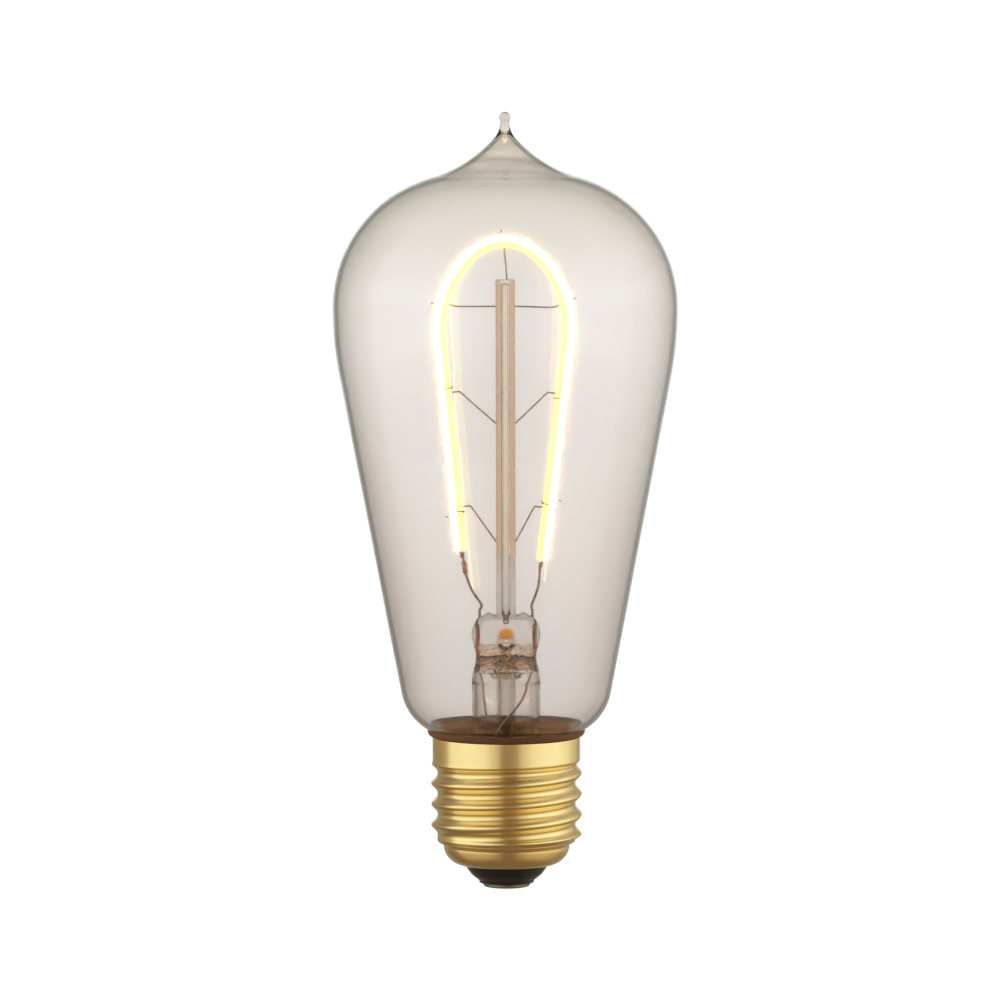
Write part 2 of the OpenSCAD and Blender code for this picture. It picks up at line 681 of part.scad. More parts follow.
// Bends of the lower leads, as shares of the way across to the pad, out past the exhaust tube and down
left_bends = [[-0.18, 0, 0.21], [-0.34, 0, 0.43], [-0.21, -0.2, 0.68]];
right_bends = [[0.08, 0.29, 0.14], [0.2, 1, 0.24], [0.53, 1, 0.43], [0.7, 1, 0.69]];
lead_clear = 1.1;
function lower_path(side, bends, pad) = let (
    top = [side * wire_x, 0, roof_z + 0.3],
    front = -exhaust_d / 2 - lead_clear)
    concat([[top.x, 0, seal_z - weld_gap]],
        through(concat([top],
            [for (b = bends) [mix(top.x, pad.x, b.x), front * b.y, mix(top.z, board_top, b.z)]],
            [[pad.x, pad.y, board_top + 2.5], [pad.x, pad.y, board_top + weld_gap]]), 2));
module lower_lead(side, bends, pad) {
    color([0.45, 0.42, 0.40])
    wire(lower_path(side, bends, pad), lead_d, 8);
}
module left_lower_lead() { lower_lead(-1, left_bends, left_pad); }
module right_lower_lead() { lower_lead(1, right_bends, right_pad); }

module driver_board() {
    color([0.16, 0.38, 0.22])
    translate([0, 0, board_z]) cylinder(r = board_r, h = board_t);
}

// A moulded body on the board with a flat pin under each place in a list
module chip_body(l, w, h, pin_w, pin_l, places) {
    translate([-l / 2, -w / 2, 0.1]) cube([l, w, h]);
    for (p = places) translate([p.x - pin_w / 2, p.y - pin_l / 2, pin_gap]) cube([pin_w, pin_l, pin_t]);
}

module bridge_rectifier() {
    color([0.10, 0.10, 0.11])
    translate([bridge_at.x, bridge_at.y, board_top])
        chip_body(bridge_l, bridge_w, bridge_h, 0.6, 0.9,
            [for (x = [-1, 1], y = [-1, 1]) [x * bridge_l / 4, y * (bridge_w / 2 + 0.4)]]);
}

module driver_chip() {
    color([0.10, 0.10, 0.11])
    translate([chip_at.x, chip_at.y, board_top])
        chip_body(chip_body_l, chip_body_w, chip_body_h, 0.5, 0.9,
            [for (x = [-1, 0, 1]) [x * chip_body_l / 3, -chip_body_w / 2 - 0.25]]);
}

// Capacitor: lies on the board, with a soft edge at both ends and a crimp near one
module smoothing_capacitor() {
    r = cap_d / 2;
    soft = 0.3;
    crimp = 0.2;
    color([0.13, 0.16, 0.30])
    translate([-cap_l / 2, r + capacitor_y, board_top + r + seat]) rotate([0, 90, 0])
    rotate_extrude()
    polygon([[0, 0], [r - soft, 0], [r, soft], [r, 4 * soft], [r - crimp, 5 * soft], [r, 6 * soft],
             [r, cap_l - soft], [r - soft, cap_l], [0, cap_l]]);
}

// Fusible resistor: a ceramic rod between two pressed-on end caps
module fusible_resistor() {
    r = fuse_d / 2;
    end_w = 1.1;
    rod_r = r - 0.25;
    slope = 0.3;
    color([0.55, 0.66, 0.60])
    translate([fuse_at.x - fuse_l / 2, fuse_at.y, board_top + r + seat]) rotate([0, 90, 0])
    rotate_extrude()
    polygon([[0, 0], [r, 0], [r, end_w], [rod_r, end_w + slope],
             [rod_r, fuse_l - end_w - slope], [r, fuse_l - end_w], [r, fuse_l], [0, fuse_l]]);
}

module live_wire() {
    color([0.75, 0.16, 0.14])
    wire(through([[0, 0, solder_top + weld_gap], [0, 0, ins_top - 1],
                  [1, -0.6, mix(ins_top, board_z, 0.5)], [2, -1, board_z - weld_gap]]), wire_d, 8);
}

module shell_wire() {
    out = (root_r - sheet - wire_d / 2 - 0.1) * [cos(18), sin(18)];
    color([0.20, 0.22, 0.55])
    wire(through([[shell_pad.x, shell_pad.y, board_top + weld_gap],
                  [shell_pad.x + 0.1, shell_pad.y, board_top + 1.2],
                  [out.x, out.y, board_top + 3],
                  [out.x, out.y, neck_z - stem_wall - 0.6]]), wire_d, 8);
}

// Hooks: fine wires from the glass rod that turn round the strip
wrap_u = strip_t / 2 + hook_gap + hook_d / 2;
wrap_w = strip_w / 2 + hook_gap + hook_d / 2;
turn_steps = 12;
// Turns round the strip: c is the strip's centre, out its outward way, up the way along it
function wrap(c, out, up, turns) = let (steps = round(turn_steps * turns))
    [for (i = [0:steps]) let (a = 180 - 360 * turns * i / steps)
        c + out * (sign(cos(a)) * pow(abs(cos(a)), coat_power) * wrap_u)
          + [0, 1, 0] * (sign(sin(a)) * pow(abs(sin(a)), coat_power) * wrap_w)
          + up * hook_climb * turns * i / steps];

module hook(side, root_z, drop, turns, tail, climb = 1) {
    at = side_at(drop);
    c = leaned_at([side * at[0].x, at[0].y]);
    lean = at[1] - side * hairpin_lean;
    out = [side * cos(lean), 0, sin(lean)];
    up = climb * [-side * sin(lean), 0, cos(lean)];
    start = [side * rod_d / 2, 0, root_z];
    meet = c - out * (wrap_u + hook_reach);
    loop = wrap(c, out, up, turns);
    ending = tail ? [loop[len(loop) - 1] + out * hook_tail + up * 0.2] : [];
    bend = 0.3;
    color([0.48, 0.42, 0.36])
    wire(concat([start, mix(start, meet, 0.5), meet - unit(meet - start) * bend, meet + out * bend],
                loop, ending), hook_d);
}
module upper_left_hook() { hook(-1, rod_top - upper_root, upper_hook, 0.5, true, -1); }
module upper_right_hook() { hook(1, rod_top - upper_root, upper_hook, 0.5, true); }
module middle_left_hook() { hook(-1, rod_top - middle_root, middle_hook, 1, false); }
module middle_right_hook() { hook(1, rod_top - middle_root, middle_hook, 1, false, -1); }
module lower_left_hook() { hook(-1, rod_top - lower_root, lower_hook, 1.5, true, -1); }
module lower_right_hook() { hook(1, rod_top - lower_root, lower_hook, 1.5, true, 1); }

// The top hook stands on the rod's end, leans to the left and passes behind the hairpin's top
module top_hook() {
    foot = [0.3, 0, rod_top];
    c = leaned_at([0, 0]) - [0.1, 0, 0];
    loop = wrap(c, [0, 0, 1], [-1, 0, 0], 0.5);
    color([0.48, 0.42, 0.36])
    wire(concat([foot, mix(foot, c - [0, 0, wrap_u], 0.5), c - [0, 0, wrap_u + 0.8]],
                loop, [loop[len(loop) - 1] + [-0.15, 0, hook_tail]]), hook_d);
}

glass_envelope();
cap_shell();
cap_insulator();
centre_contact();
contact_solder();
basing_cement();
stem_glass();
exhaust_tube();
glass_rod();
left_seal_wire();
right_seal_wire();
left_upper_lead();
right_upper_lead();
left_lower_lead();
right_lower_lead();
weld_sleeve();
filament_strip();
outer_phosphor();
inner_phosphor();
led_chips();
left_end_tab();
right_end_tab();
top_hook();
upper_left_hook();
upper_right_hook();
middle_left_hook();
middle_right_hook();
lower_left_hook();
lower_right_hook();
driver_board();
bridge_rectifier();
driver_chip();
smoothing_capacitor();
fusible_resistor();
live_wire();
shell_wire();
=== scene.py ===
import math

import bpy
import numpy as np
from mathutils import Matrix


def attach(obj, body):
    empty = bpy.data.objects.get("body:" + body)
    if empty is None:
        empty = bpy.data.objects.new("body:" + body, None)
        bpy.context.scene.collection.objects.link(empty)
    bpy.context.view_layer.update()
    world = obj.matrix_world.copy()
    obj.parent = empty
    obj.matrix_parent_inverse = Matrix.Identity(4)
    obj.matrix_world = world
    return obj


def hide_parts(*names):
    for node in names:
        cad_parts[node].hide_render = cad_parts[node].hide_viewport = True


# Lit hairpin lamp. Shapes are worked out in millimetres and brought to metres as each piece is made.
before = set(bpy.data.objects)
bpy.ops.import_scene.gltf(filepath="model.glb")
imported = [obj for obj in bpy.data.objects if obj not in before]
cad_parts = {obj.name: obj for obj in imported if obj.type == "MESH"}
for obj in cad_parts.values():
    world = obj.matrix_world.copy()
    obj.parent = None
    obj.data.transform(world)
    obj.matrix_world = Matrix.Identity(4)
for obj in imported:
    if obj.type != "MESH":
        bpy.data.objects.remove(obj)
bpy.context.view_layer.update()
scene = bpy.context.scene
scene.view_settings.view_transform = "Standard"

# Camera: found from the thread, the glass outline and the tip, for an image of 1000 by 1000
view = {"x": -0.00086, "y": -0.8, "z": 0.12, "down": 3.742, "roll": 0.15, "focalPixels": 4602, "sensor": 36}
cameraData = bpy.data.cameras.new("camera")
cameraData.sensor_width = view["sensor"]
cameraData.lens = view["sensor"] * view["focalPixels"] / 1000
camera = bpy.data.objects.new("camera", cameraData)
camera.location = (view["x"], view["y"], view["z"])
camera.rotation_euler = (math.radians(90 - view["down"]), math.radians(view["roll"]), 0)
scene.collection.objects.link(camera)
scene.camera = camera


# Arc in the plane: centre plus the radius times cosine and sine, from start to end in degrees
def arc(centre, radius, start, end, steps):
    a = np.radians(np.linspace(start, end, steps + 1))
    return np.column_stack([centre[0] + radius * np.cos(a), centre[1] + radius * np.sin(a)])


# Soft step from 0 to 1: three squares less two cubes
def ease(t):
    u = np.clip(t, 0, 1)
    return u * u * (3 - 2 * u)


# A share of the way from a to b
def mixed(a, b, t):
    return np.asarray(a, float) + (np.asarray(b, float) - np.asarray(a, float)) * t


# Direction from one point to another, in degrees
def angleTo(start, end):
    return math.degrees(math.atan2(end[1] - start[1], end[0] - start[0])) % 360


# Smooth run through points: each span is the cubic whose slope at a point is half the step past it
def smoothThrough(points, perSpan):
    p = np.pad(np.asarray(points, float), ((1, 1), (0, 0)), mode="edge")
    a, b, c, d = (p[i:len(p) - 3 + i, None, :] for i in range(4))
    t = (np.arange(perSpan) / perSpan)[None, :, None]
    run = 0.5 * (2 * b + t * (c - a) + t ** 2 * (2 * a - 5 * b + 4 * c - d)
                 + t ** 3 * (3 * b - a - 3 * c + d))
    return np.vstack([run.reshape(-1, p.shape[1]), p[-1]])


# Faces of a grid: each takes a point, the next in its row and the two in the row after, and rows or
# columns that ring come back to the first
def quadsOf(rows, cols, ringRows, ringCols):
    r = np.arange(rows if ringRows else rows - 1)[:, None]
    c = np.arange(cols if ringCols else cols - 1)[None, :]
    r2, c2 = (r + 1) % rows, (c + 1) % cols
    return np.stack([r * cols + c, r * cols + c2, r2 * cols + c2, r2 * cols + c], -1).reshape(-1, 4)


# A grid as one list of points and the corners of each face
def gridOf(points, ringRows=False, ringCols=True):
    rows, cols = points.shape[:2]
    return points.reshape(-1, 3), quadsOf(rows, cols, ringRows, ringCols)


# A profile of radius and height turned about the axis: the radius times cosine and sine of the turn
def turned(profile, sides, ringRows=True):
    a = np.linspace(0, 2 * np.pi, sides, endpoint=False)
    r, z = np.asarray(profile, float)[:, 0:1], np.asarray(profile, float)[:, 1:2]
    return gridOf(np.stack([r * np.cos(a), r * np.sin(a), z + 0 * a], -1), ringRows)


# Directions along a path: forward is its slope, across is the given side less its share along the
# slope, and the third is square to both
def directions(path, side):
    forward = np.gradient(path, axis=0)
    forward /= np.linalg.norm(forward, axis=1, keepdims=True)
    across = np.asarray(side, float) - (forward @ np.asarray(side, float))[:, None] * forward
    across /= np.linalg.norm(across, axis=1, keepdims=True)
    return forward, across, np.cross(forward, across)


# Round wire along a path: the centre plus the radius times cosine across and sine the other way. Each
# end is closed by rings that shrink like a quarter circle.
def wire(path, radius, side, sides=12, rounding=0.5):
    forward, across, other = directions(path, side)
    around = np.radians(np.linspace(0, 360, sides, endpoint=False))
    ring = np.cos(around)[:, None] * across[:, None, :] + np.sin(around)[:, None] * other[:, None, :]
    closing = np.radians([0, 35, 60, 78, 90])
    size, lift = radius * np.sin(closing), radius * rounding * (1 - np.cos(closing))
    head = path[0] + lift[:, None] * forward[0]
    tail = path[-1] - lift[::-1, None] * forward[-1]
    centres = np.vstack([head, path[1:-1], tail])
    rings = np.concatenate([np.repeat(ring[:1], len(closing), 0), ring[1:-1], np.repeat(ring[-1:], len(closing), 0)])
    sizes = np.concatenate([size, np.full(len(path) - 2, radius), size[::-1]])
    return gridOf(centres[:, None, :] + sizes[:, None, None] * rings)


# Volume inside closed faces: a sixth of the sum of the triple products of their triangles
def signedVolume(points, faces):
    a, b, c, d = (points[faces[:, i]] for i in range(4))
    return (np.einsum("ij,ij->", a, np.cross(b, c)) + np.einsum("ij,ij->", a, np.cross(c, d))) / 6


# One mesh from closed grids: equal points are joined, collapsed corners dropped, faces turned outward
def meshOf(name, grids, sharp=32):
    allPoints, allFaces, count = [], [], 0
    for points, faces in grids:
        turnedFaces = faces if signedVolume(points, faces) > 0 else faces[:, ::-1]
        allPoints.append(points)
        allFaces.append(turnedFaces + count)
        count += len(points)
    points, faces = np.concatenate(allPoints), np.concatenate(allFaces)
    finest = 5000  # parts of a millimetre: points that agree to one part are the same
    keys = np.round(points * finest).astype(np.int64)
    first, back = np.unique(keys, axis=0, return_index=True, return_inverse=True)[1:]
    points, faces = points[first], back.reshape(-1)[faces]
    same = faces == np.roll(faces, -1, axis=1)
    doubled = same.sum(1)
    four = faces[doubled == 0]
    three = faces[doubled == 1][~same[doubled == 1]].reshape(-1, 3)
    corners = np.concatenate([four.ravel(), three.ravel()])
    starts = np.concatenate([np.arange(len(four)) * 4, len(four) * 4 + np.arange(len(three)) * 3])
    mesh = bpy.data.meshes.new(name)
    mesh.vertices.add(len(points))
    mesh.vertices.foreach_set("co", (points * 0.001).astype(np.float32).ravel())
    mesh.loops.add(len(corners))
    mesh.loops.foreach_set("vertex_index", corners.astype(np.int32))
    mesh.polygons.add(len(starts))
    mesh.polygons.foreach_set("loop_start", starts.astype(np.int32))
    mesh.update(calc_edges=True)
    mesh.validate()
    mesh.shade_smooth()
    if sharp:
        mesh.set_sharp_from_angle(angle=math.radians(sharp))
    return mesh


# An object at the origin that rides on the lamp and stands for its CAD nodes
def placed(name, mesh, nodes, look):
    piece = bpy.data.objects.new(name, mesh)
    scene.collection.objects.link(piece)
    mesh.materials.append(look)
    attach(piece, "root")
    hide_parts(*nodes)
    return piece


def makePiece(name, grids, nodes, look, sharp=32):
    return placed(name, meshOf(name, grids, sharp), nodes, look)


# Cuts or adds closed meshes, one after another, and gives back plain mesh data
def combined(name, mesh, steps, sharp=32):
    main = bpy.data.objects.new(name, mesh)
    scene.collection.objects.link(main)
    for operation, tool in steps:
        helper = bpy.data.objects.new("helper", tool)
        scene.collection.objects.link(helper)
        modifier = main.modifiers.new("cut", "BOOLEAN")
        modifier.operation = operation
        modifier.solver = "EXACT"
        modifier.object = helper
        graph = bpy.context.evaluated_depsgraph_get()
        result = bpy.data.meshes.new_from_object(main.evaluated_get(graph))
        main.modifiers.clear()
        main.data = result
        bpy.data.objects.remove(helper)
    bpy.data.objects.remove(main)
    result.materials.clear()
    result.shade_smooth()
    result.set_sharp_from_angle(angle=math.radians(sharp))
    return result


# Nodes of one material or of the world
class Nodes:
    def __init__(self, tree):
        self.tree = tree

    def add(self, kind, inputs=None, **settings):
        node = self.tree.nodes.new("ShaderNode" + kind)
        for key, value in settings.items():
            setattr(node, key, value)
        for key, value in (inputs or {}).items():
            self.feed(node.inputs[key], value)
        return node

    def feed(self, socket, value):
        if isinstance(value, bpy.types.NodeSocket):
            self.tree.links.new(value, socket)
        elif socket.type == "RGBA" and len(value) == 3:
            socket.default_value = (*value, 1)
        else:
            socket.default_value = value

    def math(self, operation, a, b=0.0, clamp=False):
        return self.add("Math", {0: a, 1: b}, operation=operation, use_clamp=clamp).outputs[0]

    def vector(self, operation, a, b=(0.0, 0.0, 0.0), output=0):
        return self.add("VectorMath", {0: a, 1: b}, operation=operation).outputs[output]

    def ramp(self, value, low, high, fromLow=0.3, fromHigh=0.7):
        return self.add("MapRange", {"Value": value, "From Min": fromLow, "From Max": fromHigh,
                                     "To Min": low, "To Max": high}).outputs[0]

    # Rises from 0 to 1 between the first two limits and falls again between the last two
    def between(self, value, limits):
        up = self.ramp(value, 0.0, 1.0, limits[0], limits[1])
        return self.math("MULTIPLY", up, self.ramp(value, 1.0, 0.0, limits[2], limits[3]))

    def blend(self, factor, first, second, **settings):
        node = self.add("Mix", data_type="RGBA", **settings)
        for key, value in (("Factor", factor), (6, first), (7, second)):
            self.feed(node.inputs[key], value)
        return node.outputs[2]


# A material: place is the object's own position in millimetres
class Look(Nodes):
    def __init__(self, name):
        self.material = bpy.data.materials.new(name)
        self.material.use_nodes = True
        super().__init__(self.material.node_tree)
        self.tree.nodes.clear()
        self.out = self.add("OutputMaterial")
        position = self.add("TexCoord").outputs["Object"]
        self.place = self.add("VectorMath", {0: position, "Scale": 1000.0}, operation="SCALE").outputs[0]

    def stretched(self, x, y, z):
        return self.vector("MULTIPLY", self.place, (x, y, z))

    def noise(self, perMillimetre, detail=3.0, vector=None, roughness=0.5):
        return self.add("TexNoise", {"Vector": vector or self.place, "Scale": perMillimetre,
                                     "Detail": detail, "Roughness": roughness}).outputs[0]

    def bump(self, height, strength, distance):
        return self.add("Bump", {"Height": height, "Strength": strength,
                                 "Distance": distance * 0.001}).outputs[0]

    def height(self):
        return self.add("SeparateXYZ", {0: self.place}).outputs[2]

    def surface(self, **values):
        names = {"colour": "Base Color", "metal": "Metallic", "rough": "Roughness", "ior": "IOR",
                 "clear": "Transmission Weight", "normal": "Normal", "coat": "Coat Weight",
                 "coatRough": "Coat Roughness", "glow": "Emission Color", "power": "Emission Strength"}
        return self.add("BsdfPrincipled", {names[key]: value for key, value in values.items()}).outputs[0]

    def show(self, shader, volume=None):
        self.feed(self.out.inputs["Surface"], shader)
        if volume:
            self.feed(self.out.inputs["Volume"], volume)
        return self.material


# Glass: clear and a little uneven, with fine dust that spreads the filament's light; lamps shine
# through it, and its body takes a warm share of the light. Its tint changes with height; on the bulb
# that change is painted shade.
glassCommon = {"ior": 1.47, "shadow": (0.97, 0.96, 0.94), "dustSize": 14.0, "dustShare": 0.68}


def glassLook(name, kind, extra):
    look = Look(name)
    # Tints stacked by height: on the stem a plain warm tint, on the bulb painted shade, darker low down and at the
    # tip
    tint = kind["tints"][0][1]
    for (low, _), (high, colour) in zip(kind["tints"], kind["tints"][1:]):
        tint = look.blend(look.ramp(look.height(), 0.0, 1.0, low, high), tint, colour)
    relief = look.bump(look.noise(kind["waves"], 2.0), 1.0, kind["waveDepth"])
    tint, relief = extra(look, kind, tint, relief)
    specks = look.math("GREATER_THAN", look.noise(glassCommon["dustSize"], 0.0), glassCommon["dustShare"])
    skin = look.surface(colour=tint, rough=look.math("MULTIPLY", specks, kind["dust"]), ior=glassCommon["ior"],
                        clear=1.0, normal=relief)
    passing = look.add("BsdfTransparent", {"Color": glassCommon["shadow"]}).outputs[0]
    shadow = look.add("LightPath").outputs["Is Shadow Ray"]
    mix = look.add("MixShader", {0: shadow, 1: skin, 2: passing}).outputs[0]
    body = look.add("VolumeAbsorption", {"Color": kind["body"], "Density": kind["density"]}).outputs[0]
    return look.show(mix, body)


# The bulb's glass gets painted shade towards its edge low down and at the drawn tip, and the crown
# carries painted shade in level streaks. Heights are in millimetres, and edges in shares of turning away.
bulbKind = {"tints": [(28, (0.875, 0.84, 0.815)), (34, (0.82, 0.793, 0.777)), (46, (0.862, 0.831, 0.808)),
                      (60, (0.903, 0.873, 0.849)), (105, (0.955, 0.934, 0.912)), (115, (0.962, 0.940, 0.900)),
                      (126, (0.92, 0.885, 0.82)), (130.5, (0.92, 0.885, 0.81)), (133, (0.72, 0.68, 0.60))],
            "body": (0.72, 0.70, 0.68), "density": 120.0, "waves": 0.035, "waveDepth": 0.10, "dust": 0.21,
            "low": (48.0, 85.0), "lowEdge": (0.10, 0.42), "lowColour": (0.80, 0.765, 0.73),
            "crown": (123.0, 126.0, 130.0, 132.0), "streaks": (0.05, 0.05, 0.7), "streakRange": (0.42, 0.62),
            "streakShare": 0.8, "streakSize": 1.0, "crownColour": (0.70, 0.665, 0.60),
            "tip": (128.5, 131.0), "tipEdge": (0.12, 0.75), "tipColour": (0.52, 0.49, 0.43)}


def bulbExtra(look, kind, tint, relief):
    edge = look.add("LayerWeight", {"Blend": 0.5}).outputs["Facing"]
    height = look.height()
    low = look.math("MULTIPLY", look.ramp(height, 1.0, 0.0, *kind["low"]),
                    look.ramp(edge, 0.0, 1.0, *kind["lowEdge"]))
    # Painted shade towards the edge low down
    tint = look.blend(low, tint, kind["lowColour"])
    streaks = look.noise(kind["streakSize"], 1.0, look.stretched(*kind["streaks"]))
    streaks = look.ramp(streaks, 0.0, kind["streakShare"], *kind["streakRange"])
    # Painted shade in level streaks on the crown
    tint = look.blend(look.math("MULTIPLY", look.between(height, kind["crown"]), streaks), tint, kind["crownColour"])
    tip = look.math("MULTIPLY", look.ramp(height, 0.0, 1.0, *kind["tip"]),
                    look.ramp(edge, 0.0, 1.0, *kind["tipEdge"]))
    # Painted shade towards the edge at the tip
    return look.blend(tip, tint, kind["tipColour"]), relief


# The stem's glass carries painted reflections of the filament's light: copper on the rod's flanks that
# face the legs, brown in the rippled seam under the press, amber in the blow-hole
stemKind = {"tints": [(25, (0.975, 0.955, 0.925)), (60, (0.985, 0.965, 0.93))],
            "body": (0.72, 0.68, 0.62), "density": 30.0, "waves": 0.25, "waveDepth": 0.06, "dust": 0.0,
            "flank": (0.80, 1.10), "flankHeight": (53.0, 60.0), "flankColour": (0.82, 0.48, 0.34),
            "seam": (37.8, 38.8, 41.8, 42.8), "blotchSize": 0.9, "blotch": (0.38, 0.62), "blotchLow": 0.35,
            "seamColour": (0.92, 0.64, 0.40), "rippleSize": 0.8, "ripple": 0.9,
            "amberAt": (0, 0, 44.2), "amberSquash": (0.75, 0.0, 0.95), "amber": (0.8, 1.25),
            "amberColour": (1.0, 0.38, 0.05)}


def stemExtra(look, kind, tint, relief):
    x, y, z = look.add("SeparateXYZ", {0: look.place}).outputs
    flank = look.math("MULTIPLY", look.ramp(look.math("ABSOLUTE", x), 0.0, 1.0, *kind["flank"]),
                      look.ramp(z, 0.0, 1.0, *kind["flankHeight"]))
    # Painted reflection of the filament's light on the rod's flanks
    tint = look.blend(flank, tint, kind["flankColour"])
    seam = look.between(z, kind["seam"])
    blotch = look.ramp(look.noise(kind["blotchSize"], 3.0), kind["blotchLow"], 1.0, *kind["blotch"])
    # Painted reflection of the filament's light in the seam's ripples
    tint = look.blend(look.math("MULTIPLY", seam, blotch), tint, kind["seamColour"])
    off = look.vector("MULTIPLY", look.vector("SUBTRACT", look.place, kind["amberAt"]), kind["amberSquash"])
    away = look.vector("LENGTH", off, output="Value")
    # Painted reflection of the filament's light in the blow-hole
    tint = look.blend(look.ramp(away, 1.0, 0.0, *kind["amber"]), tint, kind["amberColour"])
    ripples = look.math("MULTIPLY", seam, look.noise(kind["rippleSize"], 2.0))
    relief = look.add("Bump", {"Height": ripples, "Strength": 1.0, "Distance": kind["ripple"] * 0.001,
                               "Normal": relief}).outputs[0]
    return tint, relief


bulbGlass = glassLook("bulb_glass", bulbKind, bulbExtra)
stemGlass = glassLook("stem_glass", stemKind, stemExtra)


# Brass: rolled round the cap, so its soft marks run level; patches of thin tarnish
brassKind = {"marks": 1.0, "level": (0.10, 0.10, 5.0), "clouds": 0.12, "tarnish": 0.5, "smoother": 0.03,
             "rougher": 0.05, "markRough": (-0.02, 0.03), "relief": (0.35, 0.010)}


def brassLook(name, colour, shade, rough):
    look, kind = Look(name), brassKind
    marks = look.noise(kind["marks"], 3.0, look.stretched(*kind["level"]))
    clouds = look.noise(kind["clouds"], 3.0)
    body = look.blend(look.ramp(clouds, 0.0, kind["tarnish"]), colour, shade)
    roughness = look.math("ADD", look.ramp(clouds, rough - kind["smoother"], rough + kind["rougher"]),
                          look.ramp(marks, *kind["markRough"]))
    return look.show(look.surface(colour=body, metal=1.0, rough=roughness,
                                  normal=look.bump(marks, *kind["relief"])))


shellBrass = brassLook("brass", colour=(0.94, 0.77, 0.35), shade=(0.90, 0.67, 0.27), rough=0.165)
contactBrass = brassLook("contact_brass", colour=(0.36, 0.28, 0.18), shade=(0.24, 0.17, 0.11), rough=0.40)


# Wires and other drawn metal: streaks along the length, small spots of oxide. Where a piece has the
# glare attribute it gets a painted glow, standing for the filament's light that drowns the wire.
metalKind = {"streaks": 2.0, "spots": 1.2, "spotRange": (0.4, 0.68), "smoother": 0.06, "rougher": 0.12,
             "relief": (0.4, 0.01)}


def metalLook(name, colour, shade, rough, streak=(2.0, 2.0, 0.3), glare=None):
    look, kind = Look(name), metalKind
    streaks = look.noise(kind["streaks"], 3.0, look.stretched(*streak))
    spots = look.ramp(look.noise(kind["spots"], 5.0), 0.0, 1.0, *kind["spotRange"])
    values = {"colour": look.blend(spots, colour, shade), "metal": 1.0,
              "rough": look.ramp(streaks, rough - kind["smoother"], rough + kind["rougher"]),
              "normal": look.bump(streaks, *kind["relief"])}
    if glare:
        # Painted glow where the glare attribute is set
        values.update(glow=glare, power=look.add("Attribute", attribute_name="glare").outputs["Fac"])
    return look.show(look.surface(**values))


leadMetal = metalLook("lead_metal", colour=(0.44, 0.32, 0.28), shade=(0.24, 0.16, 0.15), rough=0.34)
softLead = metalLook("soft_lead", colour=(0.78, 0.50, 0.36), shade=(0.50, 0.30, 0.22), rough=0.32)
hookMetal = metalLook("hook_metal", colour=(0.40, 0.34, 0.27), shade=(0.24, 0.19, 0.15), rough=0.34,
                      glare=(1.0, 0.93, 0.82))
stripMetal = metalLook("strip_metal", colour=(0.78, 0.72, 0.62), shade=(0.60, 0.52, 0.42), rough=0.30)
tinMetal = metalLook("solder", colour=(0.70, 0.69, 0.67), shade=(0.48, 0.47, 0.46), rough=0.38,
                     streak=(1.0, 1.0, 1.0))
tabCopper = metalLook("copper", colour=(0.72, 0.33, 0.20), shade=(0.42, 0.16, 0.10), rough=0.36)


# Seal wires: copper cladding, borated red in the glass and burnt dark near the top end
sealKind = {"height": (42.5, 46.5), "red": (0.75, 0.27, 0.14), "burnt": (0.16, 0.07, 0.05), "patches": 1.4,
            "ragged": (-0.25, 0.25), "rough": (0.3, 0.5), "relief": (0.4, 0.02)}


def sealLook():
    look, kind = Look("seal_copper"), sealKind
    patches = look.noise(kind["patches"], 4.0)
    worn = look.math("ADD", look.ramp(look.height(), 0.0, 1.0, *kind["height"]),
                     look.ramp(patches, *kind["ragged"]), clamp=True)
    return look.show(look.surface(colour=look.blend(worn, kind["red"], kind["burnt"]), metal=1.0,
                                  rough=look.ramp(patches, *kind["rough"]),
                                  normal=look.bump(patches, *kind["relief"])))


sealCopper = sealLook()


# Moulded or baked stuff: a body colour with clouds and grain, and a grainy relief. A rim, given as
# two radii and a colour, makes the outside darker.
bodyKind = {"clouds": 0.35, "grainRough": 0.65, "grainRange": (0.45, 0.75), "grainShare": 0.35, "smoother": 0.06,
            "rougher": 0.08, "coatRough": 0.15, "relief": 0.6}


def bodyLook(name, colour, shade, rough, grain, depth, coat=0.0, rim=None):
    look, kind = Look(name), bodyKind
    grains = look.noise(grain, 5.0, roughness=kind["grainRough"])
    body = look.blend(look.ramp(look.noise(kind["clouds"], 4.0), 0.0, 1.0), colour, shade)
    body = look.blend(look.ramp(grains, 0.0, kind["grainShare"], *kind["grainRange"]), body, shade)
    if rim:
        out = look.vector("LENGTH", look.stretched(1.0, 1.0, 0.0), output="Value")
        body = look.blend(look.ramp(out, 0.0, 1.0, rim[0], rim[1]), body, rim[2])
    return look.show(look.surface(colour=body, coat=coat, coatRough=kind["coatRough"],
                                  rough=look.ramp(grains, rough - kind["smoother"], rough + kind["rougher"]),
                                  normal=look.bump(grains, kind["relief"], depth)))


insulatorLook = bodyLook("insulator", colour=(0.016, 0.011, 0.009), shade=(0.010, 0.007, 0.006), rough=0.30,
                         grain=1.5, depth=0.015, coat=0.1)
